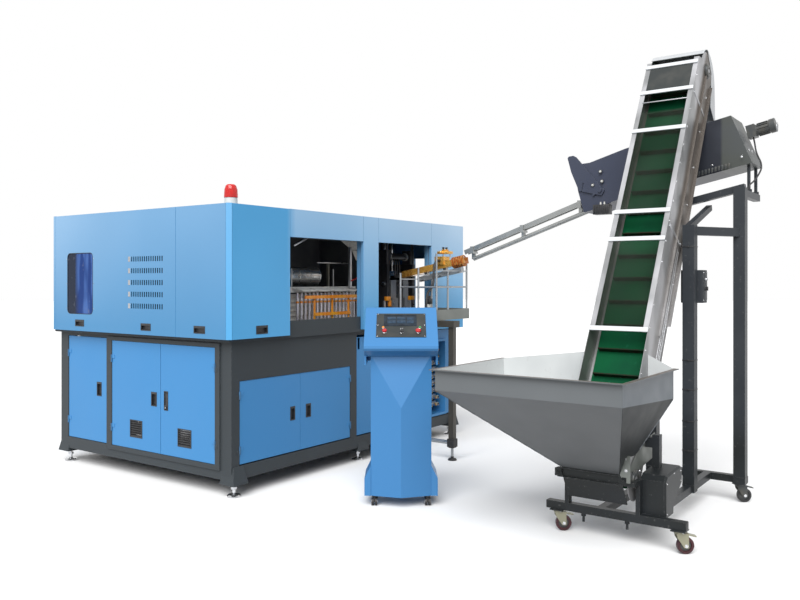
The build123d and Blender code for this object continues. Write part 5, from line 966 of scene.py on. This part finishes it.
class LINE_OT_conveyor(bpy.types.Operator):
    """Finishes the belt conveyor"""

    bl_idname = "line.conveyor"
    bl_label = "Belt conveyor"

    def execute(self, context):
        low_side, high_side = CONVEYOR_Y
        skin = low_side - 1.5
        front = slope(0, -1, 0) - slope(0, 0, 0)

        def inward(corners, normal):
            y = centre_of(corners).y
            near = abs(y - (low_side + 3)) < 6 and normal.y > 0.9
            return near or (abs(y - (high_side - 3)) < 6 and normal.y < -0.9)

        def on_cleat(corners, normal):
            middle = centre_of(corners) - Vector((FRONT_LINE[0], 0, FRONT_LINE[1]))
            return middle.x * sin(SLOPE) - middle.z * cos(SLOPE) < BELT_FACE - 4

        dress("conveyor_trough", "conveyor", (inward, "trough_in"))
        dress("conveyor_belt", "belt", (on_cleat, "cleat"))
        dress_whole(conveyor_covers="clear", cover_bars="white", discharge_hood="hood", head_roller="steel",
                    tail_roller="steel")

        outline = ((1097, 623), (1039, 466), (800, 440), (640, 452), (640, 480), (814, 586))
        tail = Piece().slab([(x, low_side - 3, z) for x, z in outline], (0, -2.5, 0))
        outline = ((-2764, 396), (-2728, 396), (-2700, 440), (-2716, 500), (-2742, 560), (-2764, 560))
        tail.slab([(590, y, z) for y, z in outline], (3, 0, 0))
        tail.done("tail_side_sheet", "tray")
        Piece().bolt((590, -2738, 470), WEST, 7, 6).done("tail_sheet_bolt", "chrome")
        side = Piece()
        for y, face in ((low_side, SOUTH), (high_side, NORTH)):
            side.many(Piece.screw, [slope(-780 + step * 162, 20, y) for step in range(19)], face, 6.0)
            side.many(Piece.bolt, [slope(-820 + step * 330, 300, y) for step in range(10)], face, 6.5, 5.0)
        side.done("side_plate_screws", "chrome")

        ribs = Piece()
        for depth in (232, 262, 292):
            ribs.beam(slope(-120, depth, skin), slope(760, depth, skin), 3, 7, 0.8)
        for station in (-430, 820, 1990):
            ribs.beam(slope(station, 34, skin), slope(station, 318, skin), 3, 26, 0.8)
        ribs.done("side_plate_ribs", "steel")

        bearing = [(0, 43), (0, 58), (9, 58), (12, 52), (17, 50), (19, 46), (19, 24), (17, 24), (17, 43)]
        bearings = Piece()
        for station in (TAIL_STATION, HEAD_STATION):
            hub = slope(station, ROLLER_DEPTH, low_side)
            places = [hub + Vector(shift) for shift in product((-34, 34), (-12,), (-34, 34))]
            bearings.many(Piece.bolt, places, SOUTH, 5.5, 5.0).lathe(hub, bearing, SOUTH, 28, bored=True)
        bearings.done("roller_bearings", "motor")

        low, high = BAR_STATIONS[4] + 16, BAR_STATIONS[5] - 16
        corners = [slope(low, 0, low_side + 36), slope(high, 0, low_side + 36),
                   slope(high, 0, high_side - 36), slope(low, 0, high_side - 36)]
        Piece().slab(corners, front * 2.5).done("head_guard_sheet", "plate")
        joint = BAR_STATIONS[4] - 96
        start, end = (slope(joint, -4.5, y) for y in (low_side + 30, high_side - 30))
        Piece().beam(start, end, 2.5, 7, 0.6).done("cover_joint_strip", "steel")
        screw_rows = (low_side + 14, high_side - 14)
        places = [slope(station, -8.5, y) for station, y in product(BAR_STATIONS, screw_rows)]
        Piece().many(Piece.screw, places, front, 5.0).done("cover_bar_screws", "chrome")
        return {"FINISHED"}


class LINE_OT_elevator(bpy.types.Operator):
    """Finishes the elevator's frame and castors"""

    bl_idname = "line.elevator"
    bl_label = "Elevator frame"

    def execute(self, context):
        dress("elevator_frame", "elevator")
        along = Matrix.Rotation(CONSOLE_TURN, 3, "Z") @ Vector(NORTH)
        for corner, (pin_x, pin_y) in CASTOR_PINS.items():
            axle = Vector((pin_x + 18.6, pin_y - 26.0, 50.0))

            def near_axle(corners, normal, axle=axle):
                reach = max((point - axle).length for point in corners)
                return (centre_of(corners) - axle).length < 33 and reach < 40

            fork, tyre = ("zinc", "maroon") if "front" in corner else ("motor", "rubber")
            dress("castor_fork_" + corner, fork)
            dress("castor_wheel_" + corner, tyre, (near_axle, "motor"))
            nuts = Piece()
            for way in (along, -along):
                nuts.bolt(axle + way * 26.5, way, 8, 6)
            nuts.done("axle_nuts_" + corner, "chrome", "castor_fork_" + corner)
            places = product((pin_x - 34, pin_x + 34), (pin_y - 31, pin_y + 31), (134,))
            Piece().many(Piece.bolt, places, DOWN, 5, 5).done("castor_plate_bolts_" + corner, "chrome")

        ties = Piece()
        for z in (1830, 1047, 845, 629, 427):
            ties.block((1626, -2815, z), (85, 85, 8), 1.0).block((1581, -2816, z), (6, 12, 12), 1.0)
        ties.done("column_cable_ties", "black")
        lid = Piece().box((1674, 1768), (SWITCH_BOX_FACE, -2890), (1449, 1661), 2)
        lid.done("switch_box_lid", "elevator")
        screws = Piece().many(Piece.screw, product((1682, 1760), (SWITCH_BOX_FACE,), (1458, 1652)), SOUTH, 4)
        drive_box = ((770, 200), (770, 380), (890, 200), (1040, 350), (1040, 410), (905, 420))
        screws.many(Piece.screw, [(x, CONVEYOR_Y[0] - 185, z) for x, z in drive_box], SOUTH, 5)
        screws.done("box_screws", "chrome")
        lamp = [(0, 11), (4, 11), (6, 9), (14, 8), (16, 0)]
        Piece().lathe((1722, SWITCH_BOX_FACE, 1605), lamp, SOUTH, 18).done("switch_box_lamp", "steel")
        knob = Piece().lathe((1722, SWITCH_BOX_FACE, 1540), [(0, 14), (5, 14), (7, 12), (7, 0)], SOUTH, 20)
        knob.box((1718, 1726), (-2912, -2900), (1526, 1554), 1).done("switch_box_knob", "black")
        places = [(FRONT_BAR_X, -3057, 165), (FRONT_BAR_X, -2178, 165), (REAR_BAR_X, -3087, 165),
                  (REAR_BAR_X, -2378, 165)]
        Piece().many(Piece.block, places, (48, 4, 48), 1.5).done("bar_end_caps", "rubber")
        beads = Piece()
        for x, y in ((1626, -2815), (REAR_BAR_X - 40, -3050), (REAR_BAR_X - 40, -2420)):
            corners = ((-40, -40), (40, -40), (40, 40), (-40, 40))
            beads.tube([(x + dx, y + dy, 191) for dx, dy in corners], 3.5, 6, loop=True)
        beads.done("weld_beads", "elevator")
        return {"FINISHED"}


def trough_edge(y):
    """Height of the unscrambler's sloping lower edge."""
    return 2241 + (-2042 - y) * 0.2117


class LINE_OT_unscrambler(bpy.types.Operator):
    """Finishes the unscrambler"""

    bl_idname = "line.unscrambler"
    bl_label = "Unscrambler"

    def execute(self, context):
        dress_whole(unscrambler_trough="trough", near_sorting_roller="chrome", far_sorting_roller="chrome",
                    unscrambler_motor="motor")

        ears = ((-1928, 2485), (-1941, 2404), (-1862, 2378))
        washers = Piece().many(Piece.lathe, [(2236, y, z) for y, z in ears],
                               [(0, 15), (5, 15), (7, 12), (7, 0)], WEST, 20)
        washers.done("ear_washers", "motor")
        heads = Piece().many(Piece.bolt, [(2229, y, z) for y, z in ears], WEST, 7, 6)
        heads.done("ear_bolts", "white_plastic")
        box = Piece().box((2222, 2300), (-2003, -1867), (2136, 2216), 3)
        box.many(Piece.block, [(2221, y + 4.5, 2176) for y in range(-1996, -1881, 19)], (6, 9, 68), 1)
        box.done("vibrator_box", "black")
        plug = [(0, 8), (10, 8), (12, 6), (22, 6), (22, 0)]
        plugs = Piece().many(Piece.lathe, [(2240, -1960, 2216), (2240, -1928, 2216)], plug, UP, 14)
        plugs.done("vibrator_plugs", "white_plastic")
        places = [(2218.75, y, trough_edge(y) + 23) for y in range(-2930, -2569, 24)]
        Piece().many(Piece.block, places, (4.5, 16, 34), 0.8).done("trough_comb", "motor")
        places = [(TROUGH_FACE, y, trough_edge(y) + 60) for y in (-2120, -2350, -2580, -2810, -3020)]
        Piece().many(Piece.bolt, places, WEST, 6, 4).done("trough_bolts", "chrome")
        fan = Piece()
        for radius in (14, 24, 34):
            fan.ring((2425, -3223, 2736), SOUTH, radius, 1.4, 24)
        fan.done("fan_grille", "steel")
        return {"FINISHED"}


class LINE_OT_feed(bpy.types.Operator):
    """Finishes the feed rail, the chute and the infeed stand"""

    bl_idname = "line.feed"
    bl_label = "Feed rail and infeed"

    def execute(self, context):
        dress("feed_rail", "rail")
        dress("feed_chute", "brass", (within((2340, 2460), (-561, -405), (1690, 1870)), "copper"))
        tray = within((1970, 2555), (-505, -70), (1230, 1336))
        heights = ((41, 1500), (-1, 41), (110, 196))
        post, foot, block = (within((1980, 2100), (-680, -420), span) for span in heights)
        dress("infeed_stand", "stand", (tray, "tray"), (post, "post"), (foot, "rubber"), (block, "rubber"))

        gate = Piece().box((2352, 2452), (-382, -262), (1846, 1872), 5)
        gate.box((2372, 2420), (-352, -300), (1872, 1890), 3)
        gate.lathe((2352, -320, 1860), [(0, 14), (40, 14), (44, 10), (44, 0)], WEST, 20)
        gate.done("gate_actuator", "brass")
        posts = Piece()
        for y in (-360, -282):
            posts.lathe((2436, y, 1816), [(0, 7), (32, 7)], UP, 12).bolt((2436, y, 1872), UP, 6, 5)
        posts.done("gate_posts", "chrome")
        knob = [(0, 8), (8, 8), (10, 12), (20, 12), (23, 9), (23, 0)]
        knobs = Piece().many(Piece.lathe, [(2375, -320, 1888), (2430, -320, 1888)], knob, UP, 16)
        knobs.done("gate_knobs", "black")

        bowl = [(0, 0), (0, 16), (5, 22), (30, 23), (34, 23)]
        Piece().lathe((2310, -200, 1338), bowl, UP, 22).done("regulator_bowl", "white_plastic")
        body = Piece().block((2310, -200, 1398), (52, 52, 52), 4)
        body.lathe((2310, -200, 1424), [(0, 18), (24, 18), (28, 14), (28, 0)], UP, 22)
        body.lathe((2310, -226, 1398), [(0, 15), (4, 15), (5, 13), (5, 0)], SOUTH, 20)
        body.done("regulator_body", "black")
        return {"FINISHED"}


def cord_curve(name, route, diameter, node):
    """Free cord as one smooth curve along its route."""
    curve = bpy.data.curves.new(name, "CURVE")
    curve.dimensions = "3D"
    spline = curve.splines.new("NURBS")
    spline.points.add(len(route) - 1)
    for point, place in zip(spline.points, route):
        point.co = (*at(*place), 1)
    spline.order_u = 3
    spline.use_endpoint_u = True
    spline.resolution_u = 12
    curve.bevel_depth = diameter / 2
    curve.bevel_resolution = 4
    curve.use_fill_caps = True
    curve.materials.append(look("rubber"))
    cord = bpy.data.objects.new(name, curve)
    bpy.context.collection.objects.link(cord)
    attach(cord, "root")
    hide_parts(node)


class LINE_OT_cords(bpy.types.Operator):
    """Hangs the infeed's air hose and the motor's cable"""

    bl_idname = "line.cords"
    bl_label = "Hose and cable"

    def execute(self, context):
        cord_curve("infeed_air_hose", INFEED_HOSE, 0.022, "infeed_hose")
        cord_curve("motor_power_cable", MOTOR_CABLE, 0.012, "motor_cable")
        return {"FINISHED"}


def floor_finish():
    """Pale floor that keeps the shadow, and sends back less light than it shows."""
    material = bpy.data.materials.new("pale floor")
    material.use_nodes = True
    tree = material.node_tree
    shader = tree.nodes["Principled BSDF"]
    shader.inputs["Roughness"].default_value = 0.9
    shader.inputs["Specular IOR Level"].default_value = 0.1
    path = tree.nodes.new("ShaderNodeLightPath")
    seen = tree.nodes.new("ShaderNodeMath")
    seen.operation = "SUBTRACT"
    seen.use_clamp = True
    seen.inputs[0].default_value = 1.0
    tree.links.new(path.outputs["Is Diffuse Ray"], seen.inputs[1])
    mix = tree.nodes.new("ShaderNodeMix")
    mix.data_type = "RGBA"
    mix.inputs[6].default_value = (0.4, 0.4, 0.4, 1)
    mix.inputs[7].default_value = (0.93, 0.93, 0.93, 1)
    tree.links.new(seen.outputs[0], mix.inputs[0])
    tree.links.new(mix.outputs[2], shader.inputs["Base Color"])
    return material


class LINE_OT_stage(bpy.types.Operator):
    """Sets the floor, the studio light and the photograph's camera"""

    bl_idname = "line.stage"
    bl_label = "Stage, light and camera"

    def execute(self, context):
        settings = context.scene.line_stage
        scene = context.scene
        scene.view_settings.view_transform = "Standard"

        floor_mesh = bmesh.new()
        bmesh.ops.create_circle(floor_mesh, cap_ends=True, segments=64, radius=settings.floor_radius)
        data = bpy.data.meshes.new("floor")
        floor_mesh.to_mesh(data)
        floor_mesh.free()
        data.materials.append(floor_finish())
        floor = bpy.data.objects.new("floor", data)
        floor.location.z = -0.001
        scene.collection.objects.link(floor)

        sun = bpy.data.lights.new("studio light", "SUN")
        sun.energy = settings.sun_strength
        sun.angle = settings.sun_angle
        lamp = bpy.data.objects.new("studio light", sun)
        lamp.rotation_euler = Vector((0.66, 0.30, -0.69)).to_track_quat("-Z", "Y").to_euler()
        scene.collection.objects.link(lamp)

        world = bpy.data.worlds.new("studio")
        scene.world = world
        world.use_nodes = True
        tree = world.node_tree
        background = tree.nodes["Background"]
        background.inputs["Color"].default_value = (1, 1, 1, 1)
        path = tree.nodes.new("ShaderNodeLightPath")
        mix = tree.nodes.new("ShaderNodeMapRange")
        tree.links.new(path.outputs["Is Diffuse Ray"], mix.inputs[0])
        mix.inputs[3].default_value = 1.0
        mix.inputs[4].default_value = settings.sky_strength
        tree.links.new(mix.outputs[0], background.inputs["Strength"])

        camera_data = bpy.data.cameras.new("photo camera")
        camera_data.lens = LENS_MM
        camera_data.shift_y = HORIZON_SHIFT
        camera_data.clip_end = 200
        camera = bpy.data.objects.new("photo camera", camera_data)
        camera.location = at(*CAMERA_PLACE)
        camera.rotation_euler = CAMERA_FORWARD.to_track_quat("-Z", "Y").to_euler()
        scene.collection.objects.link(camera)
        scene.camera = camera
        return {"FINISHED"}


def colour_property(name, description, colour):
    return bpy.props.FloatVectorProperty(name=name, description=description, default=colour, subtype="COLOR",
                                         size=3, min=0.0, max=1.0)


class LineColours(bpy.types.PropertyGroup):
    """Colours of the line's paints and metals, and of the light and shade painted on the cabinet and the
    hopper
    """

    cabinet_blue: colour_property("Cabinet blue", "Paint of the upper cabinet", (0.078, 0.26, 0.49))
    # Painted light: lit copy of the cabinet paint for its faces turned to -y.
    cabinet_front: colour_property("Cabinet front", "Paint of the long front face", (0.1, 0.41, 0.76))
    # Painted highlight laid over the cabinet's upper part.
    cabinet_highlight: colour_property("Cabinet top", "Paler tone near the cabinet's top", (0.52, 0.72, 0.93))
    door_blue: colour_property("Door blue", "Paint of the lower doors and panels", (0.06, 0.255, 0.55))
    console_blue: colour_property("Console blue", "Paint of the console", (0.055, 0.21, 0.46))
    frame_grey: colour_property("Frame grey", "Coat of the welded lower frame", (0.042, 0.05, 0.056))
    elevator_grey: colour_property("Elevator grey", "Coat of the elevator's bars", (0.035, 0.04, 0.046))
    trough_grey: colour_property("Trough grey", "Coat of the unscrambler", (0.042, 0.05, 0.08))
    belt_green: colour_property("Belt green", "Rubber of the elevator's belt", (0.0, 0.078, 0.027))
    bar_white: colour_property("Bar white", "Paint of the cross bars and the hood", (0.66, 0.68, 0.7))
    hopper_steel: colour_property("Hopper steel", "Outside of the hopper's skirt", (0.14, 0.152, 0.16))
    # Painted shade: tone of the hopper's outside faces that look down.
    hopper_shade: colour_property("Hopper shade", "Outside of the hopper's funnel", (0.15, 0.158, 0.165))


class LineStage(bpy.types.PropertyGroup):
    """Light and floor of the stage"""

    sun_strength: bpy.props.FloatProperty(name="Sun strength", description="Strength of the studio light",
                                          default=3.8, min=0.0)
    sun_angle: bpy.props.FloatProperty(name="Sun size", description="Angle that the studio light covers",
                                       default=radians(50), subtype="ANGLE")
    sky_strength: bpy.props.FloatProperty(name="Sky strength", description="Light from all round",
                                          default=0.5, min=0.0)
    floor_radius: bpy.props.FloatProperty(name="Floor radius", description="Reach of the floor",
                                          default=60.0, unit="LENGTH")


OPERATORS = (
    LINE_OT_cabinet, LINE_OT_lower_frame, LINE_OT_oven, LINE_OT_clamp, LINE_OT_console, LINE_OT_hopper,
    LINE_OT_conveyor, LINE_OT_elevator, LINE_OT_unscrambler, LINE_OT_feed, LINE_OT_cords, LINE_OT_stage,
)


class LINE_PT_panel(bpy.types.Panel):
    """Lists the line's pieces in the sidebar"""

    bl_idname = "LINE_PT_panel"
    bl_label = "Blowing line"
    bl_space_type = "VIEW_3D"
    bl_region_type = "UI"
    bl_category = "Blowing line"

    def draw(self, context):
        for group in (context.scene.line_colours, context.scene.line_stage):
            for name in group.__annotations__:
                self.layout.prop(group, name)
        for operator in OPERATORS:
            self.layout.operator(operator.bl_idname)


CLASSES = (LineColours, LineStage, *OPERATORS, LINE_PT_panel)


def register():
    for cls in CLASSES:
        bpy.utils.register_class(cls)
    bpy.types.Scene.line_colours = bpy.props.PointerProperty(type=LineColours)
    bpy.types.Scene.line_stage = bpy.props.PointerProperty(type=LineStage)


def unregister():
    del bpy.types.Scene.line_stage
    del bpy.types.Scene.line_colours
    for cls in reversed(CLASSES):
        bpy.utils.unregister_class(cls)


def main():
    register()
    for operator in OPERATORS:
        group, name = operator.bl_idname.split(".")
        getattr(getattr(bpy.ops, group), name)()


if __name__ == "__main__":
    main()
